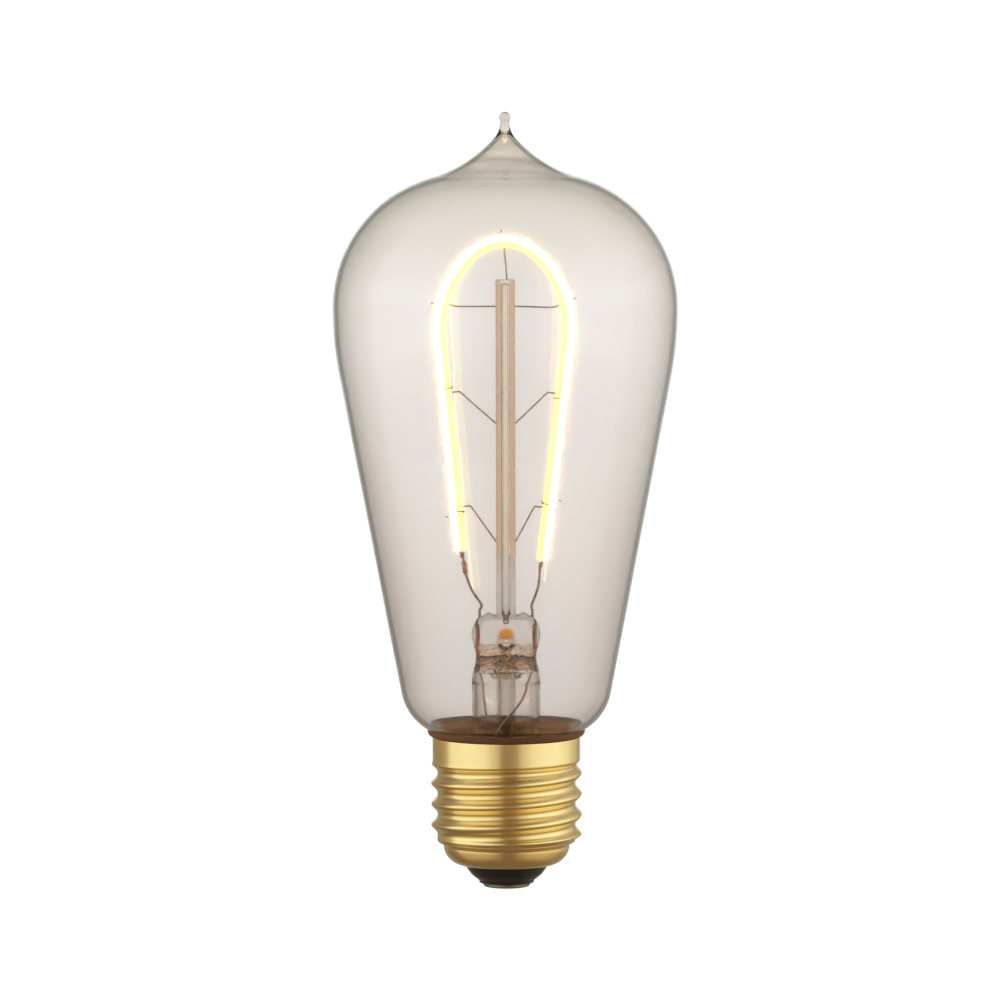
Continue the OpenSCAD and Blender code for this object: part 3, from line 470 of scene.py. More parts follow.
# Cement: its own orange-brown, lifted by painted warm light from the filament; the rim makes the lip's outside
# darker
cementGlowLook = bodyLook("cement", colour=(0.97, 0.47, 0.16), shade=(0.66, 0.27, 0.08), rough=0.62, grain=3.0,
                      depth=0.12, rim=(12.2, 12.9, (0.17, 0.062, 0.018)))
boardLook = bodyLook("board", colour=(0.035, 0.14, 0.06), shade=(0.02, 0.09, 0.04), rough=0.35, grain=4.0,
                     depth=0.01, coat=0.3)
componentLook = bodyLook("component", colour=(0.020, 0.020, 0.022), shade=(0.012, 0.012, 0.013), rough=0.5,
                         grain=8.0, depth=0.01)
capacitorLook = bodyLook("capacitor", colour=(0.03, 0.04, 0.14), shade=(0.02, 0.025, 0.09), rough=0.3,
                         grain=2.0, depth=0.01, coat=0.3)
resistorLook = bodyLook("resistor", colour=(0.22, 0.34, 0.27), shade=(0.15, 0.25, 0.20), rough=0.4, grain=3.0,
                        depth=0.02)
redWire = bodyLook("red_wire", colour=(0.42, 0.02, 0.015), shade=(0.30, 0.015, 0.012), rough=0.42, grain=3.0,
                   depth=0.01)
blueWire = bodyLook("blue_wire", colour=(0.02, 0.03, 0.26), shade=(0.015, 0.02, 0.18), rough=0.42, grain=3.0,
                    depth=0.01)
chipLook = bodyLook("chip", colour=(0.30, 0.48, 0.88), shade=(0.22, 0.38, 0.78), rough=0.2, grain=5.0,
                    depth=0.005, coat=0.5)


# Phosphor coats: lit silicone, uneven in patches and powdery at close sight
glowKind = {"powder": 5.0, "patches": 0.4, "rough": 0.55, "relief": (0.5, 0.03)}


def glowLook(name, colour, glow, power, spread):
    look, kind = Look(name), glowKind
    powder, patches = look.noise(kind["powder"], 4.0), look.noise(kind["patches"], 2.0)
    strength = look.math("ADD", look.ramp(patches, power - spread, power + spread),
                         look.ramp(powder, -spread / 2, spread / 2))
    return look.show(look.surface(colour=colour, rough=kind["rough"], glow=glow, power=strength,
                                  normal=look.bump(powder, *kind["relief"])))


whiteGlow = glowLook("phosphor_white", colour=(0.95, 0.90, 0.80), glow=(1.0, 0.68, 0.33), power=10.0, spread=0.6)
yellowGlow = glowLook("phosphor_yellow", colour=(0.88, 0.74, 0.12), glow=(1.0, 0.80, 0.17), power=2.3, spread=0.2)
print("materials made")

# Screw shell: between step and skirt the radius is the root's, plus the depth times a wave that
# peaks once in every pitch and moves up one pitch in a turn; it fades in and out at both ends
shell = {"crest": 13.2, "depth": 1.1, "pitch": 3.63, "low": 9.1, "narrow": 1.25, "runIn": 1.2, "runOut": 1.4,
         "base": 11.05, "round": 3.5, "bottom": 3.9, "stepLow": 7.3, "stepTop": 8.1,
         "skirt": 12.925, "skirtLow": 22.4, "skirtEdge": 0.4, "rim": 26.4, "sheet": 0.3, "bevel": 0.15,
         "sides": 224, "rows": 150}


def shellGrid():
    s = shell
    a = np.linspace(0, 2 * np.pi, s["sides"], endpoint=False)
    z = np.linspace(s["stepTop"], s["skirtLow"], s["rows"])[:, None]
    wave = ((1 + np.cos(2 * np.pi * (z - s["low"]) / s["pitch"] - a)) / 2) ** s["narrow"]
    root = s["crest"] - s["depth"]
    thread = mixed(root + s["depth"] * wave * ease((z - s["stepTop"]) / s["runIn"]),
                   s["skirt"], ease((z - s["skirtLow"] + s["runOut"]) / s["runOut"]))

    # Level rings, one for each radius and height
    def level(radii, heights):
        r, h = np.asarray(radii, float), np.asarray(heights, float)
        return np.stack([r[:, None] * np.cos(a), r[:, None] * np.sin(a), h[:, None] + 0 * a], -1)

    # Base, step and thread of the sheet, at a depth t inside its outer face
    def walls(t):
        lift = np.linspace(s["stepLow"], s["stepTop"], 12)[:-1]
        step = s["base"] + (root - s["base"]) * ease((lift - s["stepLow"]) / (s["stepTop"] - s["stepLow"]))
        band = np.stack([(thread - t) * np.cos(a), (thread - t) * np.sin(a), z + 0 * a], -1)
        bottom = arc((s["base"] - s["round"], s["bottom"] + s["round"]), s["round"] - t, -90, 0, 14)
        return [level(bottom[:, 0], bottom[:, 1]), level(step - t, lift), band]

    bevel = arc((s["skirt"] - s["bevel"], s["rim"] - s["bevel"]), s["bevel"], 0, 90, 6)
    rim = level(np.append(bevel[:, 0], s["skirt"] - s["sheet"]), np.append(bevel[:, 1], s["rim"]))
    plain = level([s["skirt"]] * 6, np.linspace(s["skirtLow"] + s["skirtEdge"], s["rim"] - s["skirtEdge"], 6))
    inner = [part[::-1] for part in reversed(walls(s["sheet"]))]
    return gridOf(np.concatenate(walls(0) + [plain, rim] + inner), ringRows=True)


makePiece("screw_shell", [shellGrid()], ["cap_shell"], shellBrass)
print("screw shell made")

# Glass outline: arcs tangent to one another, as in the part's source
glass = {"wall": 0.8, "neck": 11.3, "neckLow": 17.0, "neckRow": 21.0, "neckRound": 2.0, "foot": 9.4, "footIn": 2.2,
         "belly": 63.0, "bellyZ": 101.1, "radius": 30.0, "shoulder": 23.5, "crownSlope": 15.5,
         "crown": 23.0, "tipRound": 4.6, "tip": 0.74, "bead": 0.96, "hollow": 0.6, "sides": 200}
bellyCentre = np.array([glass["radius"] - glass["belly"], glass["bellyZ"]])
shoulderCentre = np.array([glass["radius"] - glass["shoulder"], glass["bellyZ"]])
footCentre = np.array([glass["neck"] - glass["footIn"], shell["rim"] + glass["foot"]])
toBelly = bellyCentre - footCentre
taper = math.degrees(math.acos((glass["foot"] - glass["belly"]) / np.linalg.norm(toBelly))
                     - math.atan2(toBelly[1], toBelly[0]))
neckCentre = np.array([glass["neck"] + glass["neckRound"], footCentre[1] - math.sqrt(
    (glass["foot"] + glass["neckRound"]) ** 2 - (glass["footIn"] + glass["neckRound"]) ** 2)])
footAngle = angleTo(neckCentre, footCentre)
slope = math.radians(glass["crownSlope"])
crownCentre = shoulderCentre + (glass["shoulder"] + glass["crown"]) * np.array([math.sin(slope), math.cos(slope)])
tipX = glass["tip"] + glass["tipRound"]
tipCentre = np.array([tipX, crownCentre[1] - math.sqrt(
    (glass["crown"] - glass["tipRound"]) ** 2 - (crownCentre[0] - tipX) ** 2)])
beadAngle = math.degrees(math.acos(glass["tip"] / glass["bead"]))
beadCentre = np.array([0.0, tipCentre[1] + glass["bead"] * math.sin(math.radians(beadAngle))])


# Neck's round and foot, at a depth t inside the glass: the centres stay and the radii change by t
def footLine(t, end, steps=34):
    return np.vstack([arc(neckCentre, glass["neckRound"] + t, 180, footAngle, 8)[:-1],
                      arc(footCentre, glass["foot"] - t, footAngle - 180, end, steps)])


# Side at a depth t: neck, foot, straight taper, belly and shoulder
def sideLine(t):
    taperTop = bellyCentre + (glass["belly"] - t) * np.array([math.cos(math.radians(-taper)),
                                                            math.sin(math.radians(-taper))])
    foot = footLine(t, -taper)
    straight = np.linspace(foot[-1], taperTop, 22)[1:-1]
    return np.vstack([[[glass["neck"] - t, glass["neckLow"]], [glass["neck"] - t, glass["neckRow"]]],
                      foot, straight,
                      arc(bellyCentre, glass["belly"] - t, -taper, 0, 16)[:-1],
                      arc(shoulderCentre, glass["shoulder"] - t, 0, 90 - glass["crownSlope"], 44)])


# Outside up to the crown, the drawn tip and its bead, then the inside down again: its crown ends in a
# small round hollow that touches it from inside
def glassProfile():
    g = glass
    crownEnd = angleTo(crownCentre, tipCentre)
    outside = np.vstack([sideLine(0), arc(crownCentre, g["crown"], 270 - g["crownSlope"], crownEnd, 20)[1:],
                         arc(tipCentre, g["tipRound"], crownEnd, 180, 14)[1:],
                         arc(beadCentre, g["bead"], -beadAngle, 90, 14)[1:]])
    r = g["crown"] + g["wall"]
    hollowCentre = np.array([0.0, crownCentre[1] - math.sqrt((r + g["hollow"]) ** 2 - crownCentre[0] ** 2)])
    turnAt = angleTo(crownCentre, hollowCentre)
    inside = np.vstack([sideLine(g["wall"]), arc(crownCentre, r, 270 - g["crownSlope"], turnAt, 22)[1:],
                        arc(hollowCentre, g["hollow"], turnAt - 180, 90, 12)[1:]])
    outside[-1, 0] = inside[-1, 0] = 0.0
    return np.vstack([outside, inside[::-1]])


makePiece("glass_bulb", [turned(glassProfile(), glass["sides"])], ["glass_envelope"], bulbGlass, 60)
print("glass bulb made")

# Basing cement: fills the gap round the neck and swells over the rim as a soft lip
cement = {"gap": 0.05, "low": 18.0, "endAngle": -60.0, "lipOut": 0.825, "skirtUp": 0.2}


# The lip is the parabola that leaves the rim level and ends on the foot; the rest follows the shell's
# inside and the neck, a gap away
def cementGrid():
    gap, s = cement["gap"], shell
    end = footCentre + glass["foot"] * np.array([math.cos(math.radians(cement["endAngle"])),
                                                 math.sin(math.radians(cement["endAngle"]))])
    start = np.array([s["skirt"], s["rim"] + gap])
    swell = start + np.array([cement["lipOut"], 0.0])
    t = np.linspace(0, 1, 16)[:, None]
    lip = mixed(mixed(start, swell, t), mixed(swell, end, t), t)
    wall, wide = s["crest"] - s["depth"] - s["sheet"] - gap, s["skirt"] - s["sheet"] - gap
    inner = footLine(-gap, cement["endAngle"], 20)[::-1]
    profile = np.vstack([[[glass["neck"] + gap, cement["low"]], [wall, cement["low"]],
                          [wall, s["skirtLow"] - s["runOut"]], [wide, s["skirtLow"] + cement["skirtUp"]],
                          [wide, s["rim"] + gap]], lip, inner])
    return turned(profile, 160)


makePiece("basing_cement_fill", [cementGrid()], ["basing_cement"], cementGlowLook, 40)

# Insulator: a glossy moulded cone under the shell, with its floor inside
insulator = {"low": 0.6, "half": 4.85, "edge": 0.35, "flat": 3.9, "edgeRound": (0.28, 0.07), "turn": (0.05, 0.5),
             "slope": (6.2, 2.2), "shoulder": (0.3, 0.35), "hole": 7.5, "seat": 3.95, "inner": 3.15,
             "top": 6.0, "bore": 0.8, "funnel": 1.2, "pocket": 1.35, "pocketTop": 1.0}


# The cone runs smoothly through five points; inside it follows the shell's round up to a level floor
def insulatorGrid():
    i = insulator
    centre = (shell["base"] - shell["round"], shell["bottom"] + shell["round"])
    floorAngle = math.degrees(math.asin((i["top"] - centre[1]) / i["inner"]))
    edge = i["half"] - i["edge"]
    cone = smoothThrough([[edge + i["edgeRound"][0], i["low"] + i["edgeRound"][1]],
                          [i["half"] + i["turn"][0], i["low"] + i["turn"][1]], i["slope"],
                          [i["hole"] - i["shoulder"][0], i["seat"] - i["shoulder"][1]], [i["hole"], i["seat"]]], 6)
    profile = np.vstack([[[i["pocket"], i["low"]], [i["flat"], i["low"]], [edge, i["low"]]], cone[1:],
                         arc(centre, i["inner"], -90, floorAngle, 12),
                         [[i["bore"] + i["funnel"], i["top"]], [i["bore"], i["top"] - i["funnel"]],
                          [i["bore"], i["pocketTop"]], [i["pocket"], i["pocketTop"]]]])
    return turned(profile, 144)


makePiece("black_insulator", [insulatorGrid()], ["cap_insulator"], insulatorLook, 30)

# Contact: a dished disc with a rolled rim, and the domed spot of solder in its hole
contact = {"radius": 4.1, "thick": 0.35, "hole": 1.0, "top": 0.6, "holeUp": 0.09, "dish": [(1.7, 0.02), (2.6, 0.0)]}
solder = {"radius": 0.95, "low": 0.01, "rise": 0.16, "neck": (0.3, 0.4), "head": 1.3, "headLow": 0.42,
          "headTop": 0.95, "headRound": 0.4}


# The face runs smoothly from the raised hole down to the flat ring, and an arc rolls the rim up
def contactGrid():
    c, t = contact, contact["thick"]
    dish = smoothThrough([[c["hole"], c["holeUp"]], *c["dish"], [c["radius"] - t, 0.0]], 6)
    profile = np.vstack([dish[:-1], arc((c["radius"] - t, t), t, -90, 0, 10),
                         [[c["radius"], c["top"]], [c["radius"] - t, c["top"]],
                          [c["radius"] - 1.5 * t, t], [c["hole"], t]]])
    return turned(profile, 120)


# The face rises with the cube of the distance out, and the head above the disc is rounded by an arc
def solderGrid():
    s = solder
    out = np.linspace(0, 1, 13)
    face = np.column_stack([s["radius"] * out, s["low"] + s["rise"] * out ** 3])
    profile = np.vstack([face, [[s["radius"], z] for z in s["neck"]], [[s["head"], s["headLow"]]],
                         arc((s["head"] - s["headRound"], s["headTop"] - s["headRound"]), s["headRound"], 0, 90, 5),
                         [[0.0, s["headTop"]]]])
    return turned(profile, 72)


makePiece("contact_disc", [contactGrid()], ["centre_contact"], contactBrass, 40)
makePiece("solder_spot", [solderGrid()], ["contact_solder"], tinMetal, 40)
print("cap made")

# Stem: rings of round and slot shape, given by width, thickness and height. Pinch and press are rows
# of three shares: of the way up, to the new width and to the new thickness.
stem = {"radius": 5.95, "wall": 0.9, "flare": 4.0, "flareLip": 0.15, "flareBevel": 0.3, "straight": (23.0, 35.0),
        "tubeTop": 36.8, "pinchTop": 40.5, "waist": 10.6, "width": 12.0, "thick": 4.4, "top": (8.78, 3.5),
        "pinch": [(0, 0, 0), (0.3, 0.35, 0.15), (0.7, 0.9, 0.65)],
        "press": [(0, 0, 1), (0.14, 0.14, 1), (0.3, 0.62, 1), (0.5, 1, 1), (0.63, 0.96, 1), (0.8, 0.45, 1),
                  (0.92, -0.3, 0.97)],
        "rodLow": 47.5, "pressTop": 48.1, "wireX": 4.6, "columns": 128}
hump = {"x": 2.99, "height": 0.62, "long": 0.85, "deep": 1.9, "fillet": 0.5, "filletOut": 0.8, "soft": 6}
hollow = {"footAngle": 262, "bendLow": 35.5, "bends": [(9.65, 6.8, 38.1), (9.3, 4.2, 39.0)],
          "dome": [(9.24, 3.9, 39.2), (9.0, 3.4, 39.34)], "end": (8.4, 2.7), "roof": 39.4}
blow = {"z": 43.1, "squash": 0.82, "depths": [1.3, 1.3, 1.0, 0.4, -0.6, -1.4, -1.9, -2.3, -2.8, -2.8],
        "sizes": [0.0, 0.45, 0.75, 0.85, 1.0, 1.2, 1.5, 1.85, 2.4, 0.0]}
rod = {"radius": 1.7, "top": 106.1, "in": 0.8, "soft": 0.35, "flat": 0.9, "foot": 0.6, "footUp": 0.3,
       "side": (0.5, 1), "rows": 24}
bore = {"radius": 1.0, "in": 0.6}
channel = {"radius": 0.58, "low": 46.2, "below": 0.6}


# A ring is found by the distance from its middle to a slot's edge in each direction: to the flat,
# which is half the thickness over the sine, or to the round end
def slotRings(rows):
    rows = np.asarray(rows, float)
    a = (np.arange(stem["columns"]) + 0.5) * 2 * np.pi / stem["columns"]
    half = np.maximum(rows[:, 0:1] - rows[:, 1:2], 0) / 2
    edge = rows[:, 1:2] / 2
    c, s = np.abs(np.cos(a)), np.abs(np.sin(a))
    flat = edge / np.maximum(s, 1e-9)
    toEnd = half * c + np.sqrt(np.maximum(edge ** 2 - (half * s) ** 2, 0))
    reach = np.where(flat * c <= half, flat, toEnd)
    return np.stack([reach * np.cos(a), reach * np.sin(a), rows[:, 2:3] + 0 * a], -1)


# Rings that are shares of one ring, all at one height
def lidRings(ring, shares, height):
    return ring * [1, 1, 0] * np.asarray(shares)[:, None, None] + [0, 0, height]


# Solid stem: flare, tube, pinch and press as rings, closed above and below
def stemBody():
    s, h, low = stem, hump, glass["neckLow"]
    flare = arc((s["radius"] + s["flare"], low + s["flare"]), s["flare"], 270, 180, 16)
    flare[0, 0] = s["radius"] + s["flare"]
    d, rim = 2 * s["radius"], 2 * glass["neck"]
    foot = [[rim, rim, low - s["wall"]], [rim, rim, low - s["flareLip"]],
            [rim - s["flareBevel"], rim - s["flareBevel"], low]]
    tube = [[2 * p[0], 2 * p[0], p[1]] for p in flare] + [[d, d, z] for z in np.linspace(*s["straight"], 7)]
    bends = [[mixed(d, s["waist"], wide), mixed(d, s["thick"], thin), mixed(s["tubeTop"], s["pinchTop"], up)]
             for up, wide, thin in s["pinch"]]
    bends += [[mixed(s["waist"], s["width"], wide), mixed(d, s["thick"], thin),
               mixed(s["pinchTop"], s["rodLow"], up)] for up, wide, thin in s["press"]]
    bends.append([*s["top"], s["rodLow"]])
    upper = smoothThrough([[d, d, s["straight"][1]]] + bends, 6)
    rings = slotRings(np.vstack([foot, tube, upper[1:]]))
    # The top closes inwards under two soft humps, each a bell along the press times a parabola across
    # it, and a fillet that climbs the rod
    shares = np.linspace(1, 0, 26)[1:]
    top = lidRings(rings[-1:], shares, s["rodLow"])
    x, y = top[..., 0], top[..., 1]
    humps = h["height"] * np.exp(-((np.abs(x) - h["x"]) / h["long"]) ** 2) * np.clip(1 - (y / h["deep"]) ** 2, 0, 1)
    fillet = h["fillet"] * np.clip(1 - (np.hypot(x, y) - rod["radius"]) / h["filletOut"], 0, 1) ** 2
    top[..., 2] += np.maximum(humps, fillet) * ease((1 - shares[:, None]) * h["soft"])
    # The underside closes straight across; the hollow is cut from it
    under = lidRings(rings[:1], [0.0, 0.5], low - s["wall"])
    return gridOf(np.concatenate([under, rings, top]))


# Inside of flare, tube and pinch, up to a low domed roof
def stemHollow():
    s, h = stem, hollow
    foot = arc((s["radius"] + s["flare"], glass["neckLow"] + s["flare"]), s["flare"] + s["wall"],
               h["footAngle"], 180, 14)
    low, d = glass["neckLow"] - 2 * s["wall"], 2 * (s["radius"] - s["wall"])
    rows = [[2 * foot[0, 0], 2 * foot[0, 0], low]] + [[2 * p[0], 2 * p[0], p[1]] for p in foot]
    rows += [[d, d, z] for z in np.linspace(*s["straight"], 5)]
    bends = smoothThrough([[d, d, h["bendLow"]], [d, d, s["tubeTop"]], *h["bends"]], 6)
    rings = slotRings(np.vstack([rows, bends, *([row] for row in h["dome"]), [[*h["end"], h["roof"]]]]))
    return gridOf(np.concatenate([lidRings(rings[:1], [0.0, 0.5], low), rings,
                                  lidRings(rings[-1:], [0.5, 0.0], h["roof"])]))


# Blow-hole: circles flattened in height, one behind another along the line of sight
def blowHole():
    a = np.linspace(0, 2 * np.pi, 40, endpoint=False)
    depth, size = np.array(blow["depths"])[:, None], np.array(blow["sizes"])[:, None]
    points = np.stack([size * np.cos(a), depth + 0 * a, blow["z"] + blow["squash"] * size * np.sin(a)], -1)
    return gridOf(points)


# Rod: a straight side from its foot in the press to a softly rounded end
def rodShape():
    r, low, top, soft = rod["radius"], stem["rodLow"] - rod["in"], rod["top"], rod["soft"]
    rise = np.linspace(low + rod["side"][0], top - rod["side"][1], rod["rows"])
    side = np.column_stack([np.full(rod["rows"], r), rise])
    profile = np.vstack([[[0, low], [r * rod["foot"], low], [r, low + rod["footUp"]]], side,
                         arc((r - soft, top - soft), soft, 0, 90, 6), [[rod["flat"], top], [0, top]]])
    return turned(profile, 72, ringRows=False)


# A fine channel up the rod's middle, closed by half a ball at both ends
def channelShape():
    low, high, r = channel["low"], rod["top"] - channel["below"], channel["radius"]
    profile = np.vstack([arc((0, low + r), r, -90, 0, 5), arc((0, high - r), r, 0, 90, 5)])
    profile[0, 0] = profile[-1, 0] = 0.0
    return turned(profile, 32, ringRows=False)


# The bore from the hollow's roof up to the blow-hole, with a round end
def boreShape():
    r, low = bore["radius"], hollow["roof"] - bore["in"]
    profile = np.vstack([[[0, low], [r, low], [r, blow["z"]]], arc((0, blow["z"]), r, 0, 90, 6)[1:]])
    return turned(profile, 40, ringRows=False)


stemMesh = combined("stem", meshOf("stem_body", [stemBody()]),
                    [("UNION", meshOf("rod", [rodShape()])),
                     ("DIFFERENCE", meshOf("hollow", [stemHollow()])),
                     ("DIFFERENCE", meshOf("bore", [boreShape()])),
                     ("DIFFERENCE", meshOf("channel", [channelShape()])),
                     ("DIFFERENCE", meshOf("blow", [blowHole()]))], 38)
placed("glass_stem", stemMesh, ["stem_glass", "glass_rod"], stemGlass)

# Exhaust tube: open at its top, sealed round at the bottom
tube = {"radius": 1.7, "bore": 1.0, "low": 13.0, "top": 39.35, "endIn": (3, 1), "rows": 14}


# Outside from the round seal up to the open end, then the bore down again
def tubeGrid():
    t = tube
    centre = (0.0, t["low"] + t["radius"])
    rise = np.linspace(t["low"] + t["endIn"][0], t["top"] - t["endIn"][1], t["rows"])
    profile = np.vstack([arc(centre, t["radius"], -90, 0, 12),
                         np.column_stack([np.full(t["rows"], t["radius"]), rise]),
                         [[t["radius"], t["top"]], [t["bore"], t["top"]]],
                         np.column_stack([np.full(t["rows"], t["bore"]), rise[::-1]]),
                         arc(centre, t["bore"], 0, 90, 8)])
    profile[0, 0] = profile[-1, 0] = 0.0
    return turned(profile, 64)


makePiece("exhaust_stub", [tubeGrid()], ["exhaust_tube"], stemGlass, 40)
print("stem made")

# Hairpin: two sloping legs, two side arcs and a small top arc, all tangent; points are across and
# up from its own top, then leaned about that top
hairpin = {"top": 112.7, "half": 11.2, "rise": 15.2, "topRadius": 8.0, "slope": 6.0, "left": 53.8,
           "right": 55.4, "lean": 0.7, "thick": 2.0, "wide": 2.4, "power": 0.7, "endRound": 0.35}
strip = {"thick": 0.3, "wide": 1.5, "corner": (0.8, 0.94), "endRound": 0.1}
coat = {"inner": 0.20, "outer": 0.40, "spread": 89.4, "join": 0.012, "lip": (0.07, 0.02), "flat": 0.3}
tab = {"long": 1.3, "in": 0.05, "corner": 0.35, "end": 14, "dimple": 0.06, "dimpleLong": 0.2, "dimpleWide": 0.3}
depthWay = np.array([0, 1.0, 0])
sideRadius = ((hairpin["half"] ** 2 + (hairpin["rise"] - hairpin["topRadius"]) ** 2 - hairpin["topRadius"] ** 2)
              / (2 * (hairpin["half"] - hairpin["topRadius"])))
sideCentre = np.array([hairpin["half"] - sideRadius, -hairpin["rise"]])
topCentre = np.array([0.0, -hairpin["topRadius"]])
joinAngle = math.degrees(math.atan2(topCentre[1] - sideCentre[1], -sideCentre[0]))
legSlope = math.radians(hairpin["slope"])
legTop = sideCentre + sideRadius * np.array([math.cos(legSlope), -math.sin(legSlope)])
legWay = np.array([-math.sin(legSlope), -math.cos(legSlope)])


# Points across and up, turned by the lean and hung from the hairpin's top
def leaned(points):
    a = math.radians(-hairpin["lean"])
    p = np.asarray(points, float)
    return np.stack([p[..., 0] * math.cos(a) - p[..., 1] * math.sin(a), 0 * p[..., 0],
                     hairpin["top"] + p[..., 0] * math.sin(a) + p[..., 1] * math.cos(a)], -1)


# Point and outward angle of the right-hand side at a depth below the top
def sideAt(drop):
    if -drop < legTop[1]:
        return legTop + legWay * (legTop[1] + drop) / math.cos(legSlope), -hairpin["slope"]
    a = math.degrees(math.asin((-drop - sideCentre[1]) / sideRadius))
    return sideCentre + sideRadius * np.array([math.cos(math.radians(a)), math.sin(math.radians(a))]), a


# Outward direction in space of an angle on the left or right side, and the one that climbs the side
def outAndUp(angle, side):
    lean = math.radians(angle - side * hairpin["lean"])
    return (np.array([side * math.cos(lean), 0, math.sin(lean)]),
            np.array([-side * math.sin(lean), 0, math.cos(lean)]))


# Right half from its end up to the top, as points and outward angles
def halfWay(drop):
    length = (drop + legTop[1]) / math.cos(legSlope)
    leg = legTop + legWay * np.linspace(length, 0, 40)[:-1, None]
    sides, tops = np.linspace(-hairpin["slope"], joinAngle, 40), np.linspace(joinAngle, 90, 22)[1:]
    points = np.vstack([leg, arc(sideCentre, sideRadius, -hairpin["slope"], joinAngle, 39),
                        arc(topCentre, hairpin["topRadius"], joinAngle, 90, 21)[1:]])
    return points, np.concatenate([np.full(39, -hairpin["slope"]), sides, tops])


# The right half, and the left one as its mirror image run backwards
def wholeWay():
    right, rightAngle = halfWay(hairpin["right"])
    left, leftAngle = halfWay(hairpin["left"])
    points = np.vstack([right, left[-2::-1] * [-1, 1]])
    return points, np.concatenate([rightAngle, 180 - leftAngle[-2::-1]])


# A section of outward and front-to-back distances, carried along the hairpin; at the ends it shrinks
# to half along a quarter circle and closes
def bow(section, endRound=hairpin["endRound"]):
    points, angles = wholeWay()
    steps = np.linalg.norm(np.diff(points, axis=0), axis=1)
    run = np.concatenate([[0], np.cumsum(steps)])
    middle = section.mean(0)
    near = np.array([0.0, 0.04, 0.12, 0.22, endRound])
    size = np.concatenate([[0], np.sqrt(np.clip(1 - (1 - near[1:] / endRound) ** 2, 0, 1)) * 0.5 + 0.5])
    where = np.concatenate([[0], near[1:] - near[1], run[(run > endRound) & (run < run[-1] - endRound)],
                            run[-1] - (near[1:] - near[1])[::-1], [run[-1]]])
    scale = np.concatenate([size, np.ones(len(where) - 2 * len(near)), size[::-1]])
    at = leaned(np.column_stack([np.interp(where, run, points[:, k]) for k in range(2)]))
    a = np.radians(np.interp(where, run, angles) - hairpin["lean"])
    out = np.stack([np.cos(a), 0 * a, np.sin(a)], -1)
    shape = middle + (section - middle) * scale[:, None, None]
    return gridOf(at[:, None, :] + shape[..., 0:1] * out[:, None, :] + shape[..., 1:2] * depthWay)


# Power of cosine and of sine that keeps the sign, for ovals and soft rectangles
def powered(wave, power):
    return np.sign(wave) * np.abs(wave) ** power


# The coats' outline: half the thickness times the powered cosine, half the width times the powered sine
def oval(a):
    return np.column_stack([powered(np.cos(np.radians(a)), hairpin["power"]) * hairpin["thick"] / 2,
                            powered(np.sin(np.radians(a)), hairpin["power"]) * hairpin["wide"] / 2])


# One coat: the half of the oval on its side; beyond the strip's width its flat face comes forward to
# meet the other coat, and over the strip it stands back by the edge
def coatLine(middle, edge):
    way = 1 if middle == 0 else -1
    rim = oval(np.linspace(middle - coat["spread"], middle + coat["spread"], 33))
    reach = strip["wide"] / 2 + coat["lip"][0]
    face = np.array([[coat["join"], reach + coat["lip"][1]], [edge, reach], [edge, coat["flat"]],
                     [edge, -coat["flat"]], [edge, -reach], [coat["join"], -reach - coat["lip"][1]]]) * [way, way]
    return np.vstack([rim, face])


makePiece("outer_coat", [bow(coatLine(0, coat["outer"]))], ["outer_phosphor"], whiteGlow)
makePiece("inner_coat", [bow(coatLine(180, coat["inner"]))], ["inner_phosphor"], yellowGlow)
halfThick, halfWide = strip["thick"] / 2, strip["wide"] / 2
cornerOut, cornerSide = strip["corner"]
stripSection = np.array([[-1, -cornerSide], [-cornerOut, -1], [cornerOut, -1], [1, -cornerSide],
                         [1, cornerSide], [cornerOut, 1], [-cornerOut, 1], [-1, cornerSide]]) * [halfThick, halfWide]
makePiece("metal_strip", [bow(stripSection, strip["endRound"])], ["filament_strip"], stripMetal)


# End tabs: a soft rectangle carried along the leg, closed by a high power of the way along, with a
# weld dimple where the lead lies
def tabGrid(side, drop):
    at, angle = sideAt(drop)
    along = np.linspace(tab["in"], tab["long"] + tab["in"], 15)
    a = np.radians(np.linspace(0, 360, 36, endpoint=False))
    shape = np.column_stack([powered(np.cos(a), tab["corner"]) * halfThick,
                             powered(np.sin(a), tab["corner"]) * halfWide])
    t = (along - along[0]) / tab["long"]
    size = np.sqrt(np.clip(1 - np.abs(2 * t - 1) ** tab["end"], 0, 1))
    size[0] = size[-1] = 0.0
    centre = leaned((at + legWay * along[:, None]) * [side, 1])
    out = outAndUp(angle, side)[0]
    dimple = (tab["dimple"] * np.exp(-((t - 0.5) / tab["dimpleLong"]) ** 2)[:, None]
              * np.exp(-(shape[:, 1] / tab["dimpleWide"]) ** 2))
    depth = (shape[:, 0] - np.sign(shape[:, 0]) * dimple * (shape[:, 0] < 0)) * size[:, None]
    return gridOf(centre[:, None, :] + depth[..., None] * out + (shape[:, 1] * size[:, None])[..., None] * depthWay)


makePiece("left_tab", [tabGrid(-1, hairpin["left"])], ["left_end_tab"], tabCopper)
makePiece("right_tab", [tabGrid(1, hairpin["right"])], ["right_end_tab"], tabCopper)
print("hairpin made")

